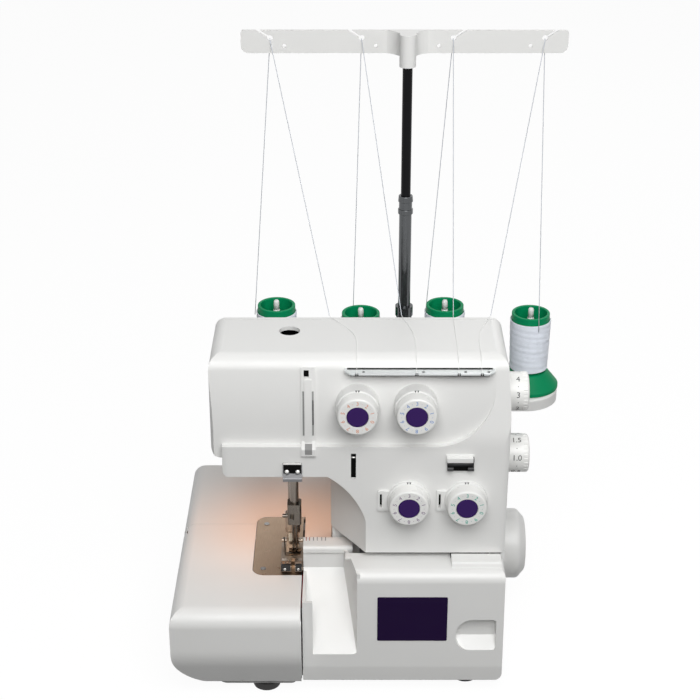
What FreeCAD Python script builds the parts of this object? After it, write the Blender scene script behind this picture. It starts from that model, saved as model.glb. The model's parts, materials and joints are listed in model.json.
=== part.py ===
import FreeCAD
import Part
import math
import os

# Four-thread serger (overlock) sewing machine, built as separate pieces.
# Millimetres. While modelling, X = 0 is under the middle of the machine's front, Y = 0 is the front face
# of the upper body, +Y goes to the rear and Z = 0 is the table. At the end every piece is shifted
# together so that the origin is the bottom centre of the whole machine.

V = FreeCAD.Vector

# Fits and walls
wall = 3.0                   # casing wall
cover_wall = 2.5             # wall of the looper cover and of the bed shells
seam = 0.3                   # gap between neighbouring covers
running_gap = 0.05           # radial gap of shafts in their bores
free_gap = 0.3               # gap between moving pieces that do not touch
fit_gap = 0.02               # radial gap of a piece pressed on a shaft

# Feet and base
foot_height = 8.0
foot_top_radius = 13.5
foot_sole_radius = 10.5
foot_left = -66.0
foot_right = 92.0
foot_front = 4.0
bed_foot_front = -7.5       # the foot under the bed stands further forward
foot_rear = 172.0
base_thickness = 3.0
base_left = -104.0
base_front = -9.0
base_tab_front = -19.0      # the plate reaches further forward under the bed

# Bed on the left, with a hinged front half
bed_left = -138.0
bed_right = -38.0
bed_front = -38.0
bed_height = 85.0
bed_top_round = 11.0
bed_front_round = 13.0
bed_under_round = 36.0
bed_front_tuck = 15.0        # how far the front face runs back at its foot
bed_seam_y = 94.0
bed_hinge_offset = 5.0
bed_hinge_pin_radius = 2.5
bed_hinge_foot = 46.0
bed_hinge_length = 26.0
lug_height = 8.0

# Upper body: arm and column
body_left = -104.7
body_right = 120.0
body_depth = 80.0
body_top = 278.0
body_top_round = 13.0
body_left_round = 14.0
front_lean = 12.6            # the upper front leans back this far at the top
lean_foot = 215.0
lean_round = 60.0
left_drop = 12.0             # the left end reaches this far below the panel's lower line
left_round = 8.0
arm_left = -96.0
arm_bottom = 184.0
column_left = -15.0
column_bottom = 117.0
throat_front_left = -17.0    # where the column's curved front edge leaves the arm
throat_front_right = 12.0    # where it reaches the column's foot
throat_run_back = 40.0       # depth of the slanted inner side of the column
throat_round = 9.0
panel_foot = 209.5           # lower line of the curved upper panel
panel_head = 266.0
panel_right = 108.0
panel_round = 45.0
panel_depth = 5.5
top_hole_radius = 8.0
left_slot = (0.7, 4.5, 182.0, 204.0)      # open thread slot left of the column, X and Z limits
slits = ((23.4, 158.0, 170.0), (68.0, 158.0, 170.0))
slit_width = 1.6
slit_boss_rise = 2.0
slit_boss_edge = 2.5
slit_boss_right = 6.0
skirt_right = 18.0           # right end of the wall behind the cover's shelf
skirt_rise = 1.5             # its clearance over the bed
lamp_x = -74.0
lamp_y = 34.0
lamp_radius = 10.0

# Rear housing
rear_left = -15.0
machine_rear = 193.0
rear_height = 178.0
rear_round = 10.0
back_thickness = 3.5
vent_count = 6
vent_pitch = 6.0
vent_width = 2.6
vent_foot = 125.0
vent_head = 160.0
screw_head_radius = 3.5
screw_head_depth = 1.2
screw_radius = 1.8
screw_length = 9.0
screw_inset = 14.0
screw_heights = (24.0, 160.0)

# Mains inlet and switch on the right side
inlet_y = 150.0
inlet_z = 36.0
inlet_half = 14.0
inlet_half_height = 10.0
inlet_wall = 2.5
inlet_depth = 7.0
switch_y = 168.0
switch_z = 74.0
switch_half = 10.0
switch_half_height = 7.0
switch_tilt = 6.0            # the rocker leans this far from its middle

# Looper cover on the lower right
cover_left = -36.8
cover_right = 119.0
cover_front = -22.5
cover_foot = 12.0
ledge_height = 112.0
ledge_rear = 0.0
ledge_round = 9.0
ledge_pad_left = 78.0        # the ledge is a little higher from here to the right
ledge_pad_front = -12.0
ledge_pad_rise = 4.0
nose_height = 108.0          # top of the small shelf beside the needle plate
nose_right = 2.0
nose_front = 22.0
nose_rear = 38.0
nose_corner = 9.0
chute_left = -29.0
chute_foot = 38.0
chute_head = 88.0
chute_foot_right = 5.5
chute_head_right = -5.0
chute_back = 24.0
cover_strip_top = 86.0
cover_hinge_y = -13.5
cover_hinge_z = 15.0
cover_rod_radius = 2.5
thumb_left = 82.0
thumb_right = 113.0
thumb_foot = 42.0
thumb_head = 70.0
thumb_depth = 8.0
cover_lug_x = (12.0, 84.0)
cover_slide = 4.0            # the cover is pushed this far to the right before it opens
knuckle_width = 5.4

# Cast frame
slab_thickness = 6.0
frame_front = 20.0
frame_right = 112.0
frame_column_left = 70.0
beam_front = 34.0
beam_rear = 68.0
arm_beam_foot = 206.0
arm_beam_top = 222.0
tension_plate_front = 24.0
tension_plate_rear = 30.0
right_wall_x = 95.0
right_wall_thickness = 6.0
left_wall_x = 20.0
wall_front = 60.0            # front of the two walls that carry the main shaft
front_wall_top = 106.0
knife_guide_top = 78.0
tension_plate_left = -6.0
tension_plate_right = 104.0
tension_plate_top = 256.0
tension_plate_foot = 150.0
lower_plate_left = 30.0
frame_column_top = 250.0
bush_foot = 192.0
knife_guide_left = -23.7
knife_guide_right = -7.0
presser_bridge_left = -66.0
presser_bridge_top = 258.0
presser_bridge_front = 50.0
carrier_front = 88.0
carrier_rear = 100.0
carrier_right = -18.0
bush_radius = 6.5

# Tension dials
dial_radius = 14.8
dial_length = 10.2
boss_radius = 16.3           # raised ring of the casing behind each dial
boss_front = -4.0
boss_root = 12.0
cap_radius = 8.0
cap_thickness = 1.4
stud_radius = 4.0
upper_dial_z = 242.0
lower_dial_z = 164.5
dial_x = (5.5, 49.0, 44.4, 88.0)
dial_z = (upper_dial_z, upper_dial_z, lower_dial_z, lower_dial_z)
tension_disc_radius = 9.0
tension_disc_thickness = 1.0

# Dials on the right side
side_dial_radius = 15.0
side_dial_y = 45.0
stitch_dial_z = 234.0
stitch_dial_length = 15.5
feed_dial_z = 180.0
feed_dial_length = 18.0
side_spindle_radius = 3.5

# Main shaft, hand wheel, belt and motor
shaft_y = 100.0
shaft_z = 63.0
shaft_radius = 6.0
shaft_left = -8.0
wheel_radius = 29.0
wheel_width = 25.0
wheel_gap = 1.2
bearing_radius = 11.0
bearing_width = 6.0
wheel_pulley_radius = 20.0
motor_y = 150.0
motor_z = 110.0
motor_radius = 24.0
motor_length = 48.0
motor_pulley_radius = 9.0
pulley_width = 12.0
pulley_x = 103.0
belt_thickness = 3.0
motor_shaft_radius = 3.0

# Needle and presser bars
needle_x = -44.0
needle_y = 44.0
presser_x = -46.0
presser_y = 59.0
bar_radius = 3.5
needle_bar_foot = 130.0
needle_bar_length = 122.0
needle_radius = 0.8
needle_tip = 88.0
needle_pitch = 2.6
presser_bar_foot = 108.0
presser_bar_length = 126.0
foot_sole = 86.8
foot_thickness = 3.0
foot_left_edge = -55.0
clamp_half = 5.5
shank_radius = 1.0
shank_depth = 8.0
spring_top = 249.0
screw_shank_radius = 5.0
presser_lever_x = -60.0
presser_lever_y = 74.0
presser_lever_z = 207.0

# Needle plate and cutting knives
plate_left = -77.0
plate_right = -38.6
plate_front = 17.5
plate_rear = 105.0
plate_thickness = 2.5
plate_gap = 0.4
plate_round = 9.0
knife_thickness = 1.8
knife_front = 30.5
knife_depth = 10.0
feed_row_x = (-52.2, -48.6)
feed_rows = ((26.0, 35.0), (54.0, 70.0))
feed_width = 1.6
feed_stroke = 1.6            # travel to the front
feed_return = 1.0            # travel to the rear
feed_gap = 0.4
looper_pin_radius = 3.0
upper_looper_x = 34.0
upper_looper_z = 60.0
lower_looper_x = 30.0
lower_looper_z = 34.0

# Take-up and thread guides on the front
take_up_x = -31.0
take_up_y = 18.0
take_up_z = 232.0
take_up_slot_width = 9.0
take_up_slot_foot = 214.0
take_up_slot_head = 256.0
take_up_tip = 7.6
take_up_cover_half = 5.3
take_up_cover_proud = 1.6
take_up_bar_proud = 1.2
take_up_foot_proud = 2.4
take_up_foot_drop = 7.2
take_up_head_rise = 4.5
take_up_pin_radius = 2.5
guide_left = -4.0
guide_right = 107.0
guide_front = 1.5
guide_drop = 9.5             # below the top of the body
guide_thickness = 1.2
guide_notch_x = (5.0, 49.0, 80.0, 97.0)

# Spool stand, pole and thread bar
stand_left = -85.0
stand_right = 172.0
stand_front = 118.0
stand_rear = 190.0
stand_thickness = 10.0
pin_x = (-60.6, 8.8, 78.2, 147.6)
pin_rear_y = 163.0
pin_front_y = 147.0
pin_radius = 2.75
pin_height = 62.0
pole_x = 43.5
pole_y = 134.0
pole_radius = 3.8
pole_middle_radius = 4.9
pole_lower_radius = 6.2
pole_lower_foot = 150.0
pole_lower_top = 266.0
pole_middle_foot = 240.0
pole_middle_top = 352.0
pole_upper_foot = 330.0
collar_height = 8.0
bar_top = 487.6
bar_height = 17.6
bar_left = -82.7
bar_right = 165.4
bar_thickness = 2.5
bar_set_back = 13.0          # the bar stands this far behind the pole
hub_radius = 6.3
hub_height = 24.6
eyelet_radius = 2.2
eyelet_drop = 6.0
eyelet_slit = 1.5

# Thread spools
spool_base_radius = 25.0
spool_core_radius = 13.0
spool_rim_radius = 15.5
spool_height = 66.0
spool_rim_height = 8.0
spool_cone_height = 15.0
spool_bore_radius = 4.0
pack_foot_radius = 14.2
pack_head_radius = 15.4
winding_turns = 22
winding_wire = 1.3
winding_lift = 0.1
thread_diameter = 0.6
thread_edge_x = (-16.0, 40.0, 80.0, 109.0)    # where each thread crosses the rear edge of the top
thread_side = (-1.0, -1.0, -1.0, 1.0)         # side of its spool on which each thread leaves
thread_clear = 0.4


# Drawing helpers

def place_xz(level):
    return lambda u, v: V(u, level, v)


def place_yz(level):
    return lambda u, v: V(level, u, v)


def place_xy(level):
    return lambda u, v: V(u, v, level)


def outline(points, place):
    """A closed outline from (u, v) or (u, v, radius) corners."""
    runs = []
    count = len(points)
    for i, point in enumerate(points):
        here = V(point[0], point[1], 0)
        before = points[i - 1]
        after = points[(i + 1) % count]
        back = (V(before[0], before[1], 0) - here).normalize()
        ahead = (V(after[0], after[1], 0) - here).normalize()
        radius = point[2] if len(point) > 2 else 0.0
        if radius <= 0:
            runs.append((here, None, here))
            continue
        half = back.getAngle(ahead) / 2
        reach = radius / math.tan(half)
        inward = (back + ahead).normalize()
        middle = here + inward * (radius / math.sin(half) - radius)
        runs.append((here + back * reach, middle, here + ahead * reach))
    edges = []
    for i, (start, middle, end) in enumerate(runs):
        lift = [place(p.x, p.y) for p in (start, middle, end) if p is not None]
        if middle is not None:
            edges.append(Part.Arc(*lift).toShape())
        following = runs[(i + 1) % count][0]
        if (following - end).Length > 1e-6:
            edges.append(Part.makeLine(lift[-1], place(following.x, following.y)))
    return Part.Face(Part.Wire(edges))


def slab_y(points, low, high):
    return outline(points, place_xz(low)).extrude(V(0, high - low, 0))


def slab_x(points, low, high):
    return outline(points, place_yz(low)).extrude(V(high - low, 0, 0))


def slab_z(points, low, high):
    return outline(points, place_xy(low)).extrude(V(0, 0, high - low))


def block(x0, x1, y0, y1, z0, z1):
    return Part.makeBox(x1 - x0, y1 - y0, z1 - z0, V(x0, y0, z0))


def rod_x(y, z, radius, x0, x1):
    return Part.makeCylinder(radius, x1 - x0, V(x0, y, z), V(1, 0, 0))


def rod_y(x, z, radius, y0, y1):
    return Part.makeCylinder(radius, y1 - y0, V(x, y0, z), V(0, 1, 0))


def rod_z(x, y, radius, z0, z1):
    return Part.makeCylinder(radius, z1 - z0, V(x, y, z0), V(0, 0, 1))


def turned(profile, centre, axis):
    """A solid of revolution; profile is (radius, height, corner radius) along axis from centre."""
    face = outline(profile, place_xz(0))
    solid = face.revolve(V(0, 0, 0), V(0, 0, 1), 360)
    solid.Placement = FreeCAD.Placement(centre, FreeCAD.Rotation(V(0, 0, 1), axis))
    return solid


def join(*shapes):
    return shapes[0].multiFuse(list(shapes[1:])).removeSplitter()


def soften(shape, radius, chosen):
    """Rounds the edges for which chosen(edge's middle, edge's length) is true."""
    edges = []
    for edge in shape.Edges:
        middle = edge.valueAt((edge.FirstParameter + edge.LastParameter) / 2)
        if chosen(middle, edge.Length):
            edges.append(edge)
    return shape.makeFillet(radius, edges)


def near(a, b):
    return abs(a - b) < 0.01


# Heights and places that follow from the sizes above

base_foot = foot_height
base_top = base_foot + base_thickness
shell_foot = base_top + seam
bed_hinge_x = bed_left + bed_hinge_offset
bed_hinge_y = bed_seam_y - seam / 2 - bed_hinge_offset
bed_under = bed_height - cover_wall
slab_top = base_top + slab_thickness
left_foot = panel_foot - left_drop
lean = math.atan2(front_lean, body_top - lean_foot)
top_round_y = front_lean + body_top_round / math.tan((math.pi / 2 + lean) / 2)
panel_head_y = front_lean - (body_top - panel_head) * math.tan(lean)
chute_run = (chute_head_right - chute_foot_right) / (chute_back - cover_front)
ledge_pad_top = ledge_height + ledge_pad_rise
dial_back = boss_front - free_gap
dial_face = dial_back - dial_length
stud_front = dial_face + cap_thickness + 0.1
stand_foot = rear_height
stand_top = stand_foot + stand_thickness
spool_top = stand_top + spool_height
pin_y = (pin_rear_y, pin_front_y, pin_rear_y, pin_front_y)
bar_foot = bar_top - bar_height
bar_front = pole_y + bar_set_back - bar_thickness / 2
bar_rear = bar_front + bar_thickness
eyelet_z = bar_top - eyelet_drop
hub_foot = bar_top - hub_height
pack_foot = stand_top + spool_cone_height + 1.0
pack_head = spool_top - spool_rim_height
winding_pitch = (pack_head - pack_foot - 2 * winding_wire) / winding_turns
right_wall = right_wall_x + right_wall_thickness
plate_carrier_top = bed_height - plate_thickness
take_up_lug = take_up_x + 5.5
clamp_foot = needle_bar_foot - 12.0
clamp_top = needle_bar_foot + 6.0
foot_right_edge = plate_right + 1.4
foot_shank_top = presser_bar_foot + 8.0
spring_foot = arm_beam_top
lever_hub_radius = presser_lever_y - beam_rear - free_gap
guide_z = body_top - guide_drop
switch_pivot_x = body_right - 5.0
middle_collar_foot = pole_middle_top - 7.0
middle_collar_top = pole_middle_top + 8.0
straight_half = math.radians(89.9)            # a corner as flat as this needs no arc


# Base

def rubber_feet():
    places = [(foot_left, bed_foot_front), (foot_right, foot_front), (foot_left, foot_rear),
              (foot_right, foot_rear)]
    feet = []
    for x, y in places:
        feet.append(Part.makeCone(foot_sole_radius, foot_top_radius, foot_height, V(x, y, 0)))
    return Part.makeCompound(feet)


def cover_lug(x0):
    lug_width = 6.0
    lug_radius = 3.8
    eye = rod_x(cover_hinge_y, cover_hinge_z, lug_radius, x0, x0 + lug_width)
    web = block(x0, x0 + lug_width, cover_hinge_y, base_front + 6, base_top + 0.5, cover_hinge_z + 2)
    root = block(x0, x0 + lug_width, base_front, base_front + 6, base_foot, cover_hinge_z + 2)
    return eye, web, root


def base_plate():
    right = body_right - wall - 1.5
    rear = machine_rear - wall - 1.5
    tab_right = bed_right - cover_wall - 2
    plate = slab_z([(base_left, base_tab_front, 8), (tab_right, base_tab_front, 4), (tab_right, base_front),
                    (right, base_front, 8), (right, rear, 8), (base_left, rear, 8)], base_foot, base_top)
    pieces = [plate]
    for x0 in cover_lug_x:
        pieces.extend(cover_lug(x0))
    pieces.append(rod_z(base_left + 14, bed_seam_y + 30, 6, base_foot, bed_under - 0.2))
    plate = join(*pieces)
    return plate.cut(rod_x(cover_hinge_y, cover_hinge_z, cover_rod_radius + running_gap, -50, 130))


# Bed shells

def bed_form(inset, right, rear):
    """The bed as a full solid, made smaller by inset on its outer faces."""
    left = bed_left + inset
    top = bed_height - inset
    foot = shell_foot - (5 if inset else 0)
    front = bed_front + inset
    across = slab_y([(left, top, bed_top_round - inset), (right, top), (right, foot),
                     (left, foot, bed_under_round - inset)], bed_front - 1, rear)
    along = slab_x([(front, top, bed_front_round - inset), (rear, top), (rear, foot),
                    (front + bed_front_tuck, foot, 6), (front, bed_height * 0.5, 40)], left - 1, right)
    return across.common(along)


def needle_plate_outline(gap):
    return [(plate_left - gap, plate_front - gap, plate_round + gap),
            (plate_right + gap, plate_front - gap),
            (plate_right + gap, plate_rear + gap), (plate_left - gap, plate_rear + gap, plate_round + gap)]


def plate_well():
    wide = needle_plate_outline(plate_gap)
    well = slab_z(wide, bed_height - 20, bed_height + 5)
    open_right = block(plate_right - 2, bed_right + 1, plate_front - plate_gap, plate_rear + plate_gap,
                       bed_height - 20, bed_height + 5)
    return well.fuse(open_right)


def bed_hinge_column(low, high, radius):
    return rod_z(bed_hinge_x, bed_hinge_y, radius, low, high)


def cloth_plate():
    rear = bed_seam_y - seam / 2
    outer = bed_form(0, bed_right, rear)
    inner = bed_form(cover_wall, bed_right - cover_wall, rear + 1)
    side_open = block(bed_right - 10, bed_right + 1, plate_front - 6, rear + 1, 0, bed_under)
    shell = outer.cut(inner).cut(side_open).cut(plate_well())
    head = bed_hinge_foot + bed_hinge_length
    knuckle = bed_hinge_column(bed_hinge_foot, head, bed_hinge_offset)
    corner = block(bed_left - 1, bed_hinge_x, bed_hinge_y, rear + 1, 0, bed_height + 1)
    sweep = rod_z(bed_hinge_x, bed_hinge_y, bed_hinge_offset, 0, bed_height + 1)
    shell = shell.cut(corner.cut(sweep)).fuse(knuckle)
    for low, high in ((bed_hinge_foot - lug_height - seam, bed_hinge_foot), (head, bed_under)):
        shell = shell.cut(bed_hinge_column(low, high, bed_hinge_offset + free_gap))
    hole = bed_hinge_column(0, bed_under - 1, bed_hinge_pin_radius + running_gap)
    return shell.cut(hole).removeSplitter()


def bed_cover():
    front = bed_seam_y + seam / 2
    right = column_left - seam
    outer = bed_form(0, right, machine_rear)
    inner = bed_form(cover_wall, right + 1, machine_rear - cover_wall)
    cut_front = block(bed_left - 5, right + 5, bed_front - 5, front, 0, bed_height + 5)
    shell = outer.cut(inner).cut(cut_front)
    step = block(plate_right + plate_gap + 0.5, right, nose_rear + 4, front + 2, bed_under, bed_height)
    shell = shell.fuse(step).cut(plate_well())
    reach = bed_hinge_y
    head = bed_hinge_foot + bed_hinge_length
    for low in (bed_hinge_foot - lug_height, head + seam):
        high = min(low + lug_height, bed_under) - seam
        eye = bed_hinge_column(low, high, bed_hinge_offset)
        neck = block(bed_left + cover_wall, bed_hinge_x + bed_hinge_offset, reach, front + 3, low, high)
        shell = shell.fuse(eye.fuse(neck).common(bed_form(0.5, right, machine_rear)))
    shell = shell.cut(bed_hinge_column(bed_hinge_foot - 6, bed_under - 2, bed_hinge_pin_radius + fit_gap))
    return shell.removeSplitter()


def cloth_plate_hinge_pin():
    low = bed_hinge_foot - 6
    return bed_hinge_column(low, bed_under - 2.2, bed_hinge_pin_radius)


# Upper body

def body_outline():
    return [(arm_left, arm_bottom, 4), (arm_left, left_foot), (body_left, left_foot, left_round),
            (body_left, body_top, 9), (body_right - 3, body_top, 9), (body_right, column_bottom + 120, 200),
            (body_right - 1, column_bottom, 3), (column_left, column_bottom, 2),
            (column_left, arm_bottom, throat_round)]


def body_form(inset, rear):
    """The upper body as a full solid, made smaller by inset."""
    face = outline(body_outline(), place_xz(-1))
    if inset:
        face = face.makeOffset2D(-inset)
    across = face.extrude(V(0, rear + 1, 0))
    top = body_top - inset
    low = column_bottom - 5
    lean_start = body_top - (front_lean + inset * (1 / math.cos(lean) - 1)) / math.tan(lean)
    lean_end = front_lean + inset * (1 / math.cos(lean) - math.tan(lean))
    along = slab_x([(inset, low), (inset, lean_start, lean_round + inset),
                    (lean_end, top, body_top_round - inset), (rear + 1, top), (rear + 1, low)],
                   body_left - 10, body_right + 10)
    left = body_left - 0.5 + inset
    right = body_right + 1 - inset
    plan = slab_z([(left, inset, body_left_round - inset), (right, inset, 6 - inset), (right, rear + 2),
                   (left, rear + 2)], column_bottom - 10, body_top + 10)
    return across.common(along).common(plan).cut(throat_scoop(inset))


def throat_scoop(inset):
    """The hollow in front of the column's slanted inner side."""
    far = column_left - 60
    top = arm_bottom + inset
    start = V(throat_front_left + inset, -5, top)
    end = V(throat_front_right + inset, -5, column_bottom - 6)
    bulge = V(throat_front_right + inset - 8.5, -5, arm_bottom - 20 + inset)
    edges = [Part.Arc(start, bulge, end).toShape(), Part.makeLine(end, V(far, -5, column_bottom - 6)),
             Part.makeLine(V(far, -5, column_bottom - 6), V(far, -5, top)),
             Part.makeLine(V(far, -5, top), start)]
    front = Part.Face(Part.Wire(edges)).extrude(V(0, 90, 0))
    back = throat_run_back + inset
    plan = slab_z([(throat_front_right + inset + 3.4, -5), (column_left + inset, back), (far, back),
                   (far, -5)],
                  column_bottom - 10, top)
    return front.common(plan)


def panel_slab(shift, far, left, right):
    """A slab between the level far and the panel's curved face, moved back by shift."""
    low = left_foot - 20
    rise = panel_head - panel_foot
    chord = math.hypot(panel_head_y - panel_depth, rise)
    tilt = math.atan2(panel_head_y - panel_depth, rise)
    bow = chord / 2 * math.tan((lean - tilt) / 2)
    middle_y = (panel_depth + panel_head_y) / 2 - bow * math.cos(tilt)
    middle_z = (panel_foot + panel_head) / 2 + bow * math.sin(tilt)
    top = panel_head + take_up_head_rise
    top_y = panel_head_y + take_up_head_rise * math.tan(lean)
    foot = V(left, panel_depth + shift, panel_foot)
    middle = V(left, middle_y + shift, middle_z)
    head = V(left, panel_head_y + shift, panel_head)
    ends = [head, V(left, top_y + shift, top), V(left, far, top), V(left, far, low),
            V(left, panel_depth + shift, low), foot]
    edges = [Part.Arc(foot, middle, head).toShape()]
    for i in range(len(ends) - 1):
        edges.append(Part.makeLine(ends[i], ends[i + 1]))
    return Part.Face(Part.Wire(edges)).extrude(V(right - left, 0, 0))


def panel_recess(inset):
    """What is left out in front of the curved upper panel."""
    low = left_foot - 10
    line = panel_foot - inset
    right = panel_right + inset
    face = slab_y([(body_left - 20, low), (arm_left + inset, low), (arm_left + inset, line),
                   (right, line, panel_round + inset), (right, panel_head), (body_left - 20, panel_head)],
                  -5, 30)
    return face.common(panel_slab(inset, -5, body_left - 20, body_right))


def body_envelope():
    return body_form(0, body_depth).cut(panel_recess(0))


def casing_bosses():
    """The rings behind the dials, the blocks round the slits and the wall behind the cover's shelf."""
    bosses = []
    rise = boss_root - boss_front
    for x, z in zip(dial_x, dial_z):
        profile = [(0, 0), (boss_radius, 0), (boss_radius, rise, 1.2), (0, rise)]
        bosses.append(turned(profile, V(x, boss_root, z), V(0, -1, 0)))
    for x, low, high in slits:
        left = x - slit_boss_edge
        right = x + slit_boss_right
        low -= slit_boss_edge
        high += slit_boss_edge
        face = [(left, low, 1.5), (right, low), (right, high), (left, high, 1.5)]
        bosses.append(slab_y(face, -slit_boss_rise, wall / 2))
    bosses.append(block(column_left + 1, skirt_right, throat_run_back, throat_run_back + wall,
                        bed_height + skirt_rise, column_bottom + wall / 2))
    return bosses


def front_casing():
    hollow = body_form(wall, body_depth + 4).cut(panel_recess(wall))
    shell = join(body_envelope().cut(hollow), *[piece.cut(hollow) for piece in casing_bosses()])
    tools = []
    for x, z in zip(dial_x, dial_z):
        tools.append(rod_y(x, z, stud_radius + 0.6, -10, 20))
    tools.append(block(take_up_x - take_up_slot_width / 2, take_up_x + take_up_slot_width / 2, -5, 20,
                       take_up_slot_foot, take_up_slot_head))
    tools.append(block(left_slot[0], left_slot[1], -5, 8, left_slot[2], left_slot[3]))
    for x, low, high in slits:
        tools.append(block(x - slit_width / 2, x + slit_width / 2, -5, 8, low, high))
    tools.append(rod_z(presser_x, presser_y, top_hole_radius, body_top - 20, body_top + 5))
    for x, y in ((needle_x, needle_y), (presser_x, presser_y)):
        tools.append(rod_z(x, y, bar_radius + 1.5, arm_bottom - 5, arm_bottom + 12))
    tools.append(rod_z(lamp_x, lamp_y, lamp_radius + 0.3, arm_bottom - 5, arm_bottom + 8))
    for z in (stitch_dial_z, feed_dial_z):
        tools.append(rod_x(side_dial_y, z, side_spindle_radius + running_gap, body_right - 12,
                           body_right + 5))
    tools.append(block(frame_column_left - 4, body_right - 2 * wall, tension_plate_front - 2,
                       body_depth + 5,
                       column_bottom - 5, column_bottom + wall + 1))
    return shell.cut(tools).removeSplitter()


def rear_casing():
    front = body_depth + seam
    left = rear_left
    right = body_right - 0.5
    upright = slab_z([(left, front), (right, front), (right, machine_rear, rear_round),
                      (left, machine_rear, 2)], shell_foot, rear_height)
    hollow = slab_z([(left + wall, front - 5), (right - wall, front - 5),
                     (right - wall, machine_rear - wall, rear_round - wall),
                     (left + wall, machine_rear - wall)], shell_foot - 5, rear_height - wall)
    shell = upright.cut(hollow)
    side = block(right - wall, right, ledge_rear + 2, front + 2, shell_foot, column_bottom - seam)
    back_face = outline(body_outline(), place_xz(front)).extrude(V(0, back_thickness, 0))
    back_face = back_face.cut(block(left - 200, right + 50, 0, 200, 0, rear_height - wall))
    window = block(presser_lever_x - 7, presser_lever_x + 7, front - 5, front + 10, 188, 226)
    shell = join(shell, side, back_face)
    tools = [window, rod_x(shaft_y, shaft_z, shaft_radius + 4, right - 10, right + 5),
             rod_z(pole_x, pole_y, pole_lower_radius + fit_gap, rear_height - 10, rear_height + 5),
             block(right - 10, right + 5, inlet_y - inlet_half, inlet_y + inlet_half,
                   inlet_z - inlet_half_height, inlet_z + inlet_half_height),
             block(right - 10, right + 5, switch_y - switch_half, switch_y + switch_half,
                   switch_z - switch_half_height, switch_z + switch_half_height)]
    for i in range(vent_count):
        y = motor_y + vent_pitch * (i - vent_count / 2)
        tools.append(block(right - 10, right + 5, y, y + vent_width, vent_foot, vent_head))
    return shell.cut(tools + screw_seats()).removeSplitter()


# Looper cover and its hinge rod

def cover_shell():
    tuck = cover_front + 1.5
    outer = [(tuck, cover_foot, 1), (cover_front, cover_foot + 14, 25),
             (cover_front, ledge_height, ledge_round),
             (ledge_rear, ledge_height), (ledge_rear, cover_foot)]
    t = cover_wall
    inner = [(tuck + t, cover_foot - 3), (cover_front + t, cover_foot + 14, 22),
             (cover_front + t, ledge_height - t, ledge_round - t), (ledge_rear + 3, ledge_height - t),
             (ledge_rear + 3, cover_foot - 3)]
    shell = slab_x(outer, cover_left, cover_right)
    hollow = slab_x(inner, cover_left - 1, cover_right - t)
    face = slab_y([(cover_left, cover_foot, 1.5), (cover_right, cover_foot, 7),
                   (cover_right - 0.5, ledge_height, 4),
                   (cover_left, ledge_height)], cover_front - 5, ledge_rear + 5)
    pad = slab_x([(ledge_pad_front - 2, ledge_height - 1), (ledge_pad_front, ledge_pad_top, 2.5),
                  (ledge_rear, ledge_pad_top), (ledge_rear, ledge_height - 1)],
                 ledge_pad_left, cover_right - 3)
    return shell.cut(hollow).common(face).fuse(pad)


def chute_edge(y):
    """Where the right side of the chute lies at one depth."""
    return chute_foot_right + chute_run * (y - cover_front)


def chute_mouth():
    """The part of the front that is left out for the chute and for the needle area."""
    front = cover_front - 5
    rear = ledge_rear + 5
    far = cover_left - 5
    right = chute_foot_right + 5
    points = [(chute_left, chute_foot), (chute_foot_right, chute_foot, 6), (right, chute_foot + 15),
              (right, ledge_height + 9), (far, ledge_height + 9), (far, cover_strip_top),
              (chute_left, cover_strip_top)]
    plan = slab_z([(far, front), (chute_edge(front), front), (chute_edge(rear), rear), (far, rear)],
                  chute_foot - 5, ledge_height + 10)
    return slab_y(points, front, rear).common(plan)


def chute():
    t = cover_wall
    ramp = slab_x([(cover_front, chute_foot - 8), (cover_front, chute_foot), (chute_back, chute_head),
                   (chute_back, nose_height - 7), (nose_front, nose_height - 6, 2),
                   (nose_front, nose_height, 3),
                   (nose_rear, nose_height, 2), (nose_rear, nose_height - t),
                   (chute_back + t, nose_height - t, 1),
                   (chute_back + t, chute_head - 1), (cover_front + t, chute_foot - 1.5),
                   (cover_front + t, chute_foot - 8)], cover_left, nose_right + 9)
    keep = slab_y([(cover_left, chute_foot - 9, 0), (chute_foot_right + 3, chute_foot - 9),
                   (chute_foot_right + 3, chute_foot), (chute_head_right + 3, chute_head),
                   (nose_right, nose_height - 12, 4), (nose_right, nose_height + 5),
                   (cover_left, nose_height + 5)],
                  cover_front - 2, nose_rear + 2)
    right = nose_right + 9
    plan = slab_z([(cover_left, cover_front - 2), (right, cover_front - 2), (right, nose_front - 4),
                   (nose_right, nose_front - 4), (nose_right, nose_rear, nose_corner),
                   (cover_left, nose_rear)],
                  chute_foot - 10, nose_height + 5)
    ramp = ramp.common(keep).common(plan)
    front = cover_front + 1
    rear = chute_back + 1
    cheek = slab_z([(chute_edge(front), front), (chute_edge(front) + t, front), (chute_edge(rear) + t, rear),
                    (chute_edge(rear), rear)], chute_foot - 1, ledge_height - t / 2)
    above_ramp = slab_x([(cover_front, chute_foot - 1), (cover_front, ledge_height),
                         (ledge_rear, ledge_height),
                         (chute_back + 1, nose_height - 4), (chute_back + 1, chute_head - 1)], -60, 60)
    side = block(cover_left, cover_left + t, cover_front + 1, nose_front + 4, chute_foot - 8,
                 cover_strip_top)
    side = side.cut(slab_x([(cover_front + 1, chute_foot - 20), (chute_back, chute_head - 21),
                            (chute_back, chute_foot - 20)], -60, 60))
    post = slab_y([(cover_left, chute_foot - 2), (chute_left, chute_foot - 2),
                   (chute_left, cover_strip_top, 2),
                   (cover_left, cover_strip_top)], cover_front, cover_front + t)
    return ramp, cheek.common(above_ramp), side, post


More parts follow.
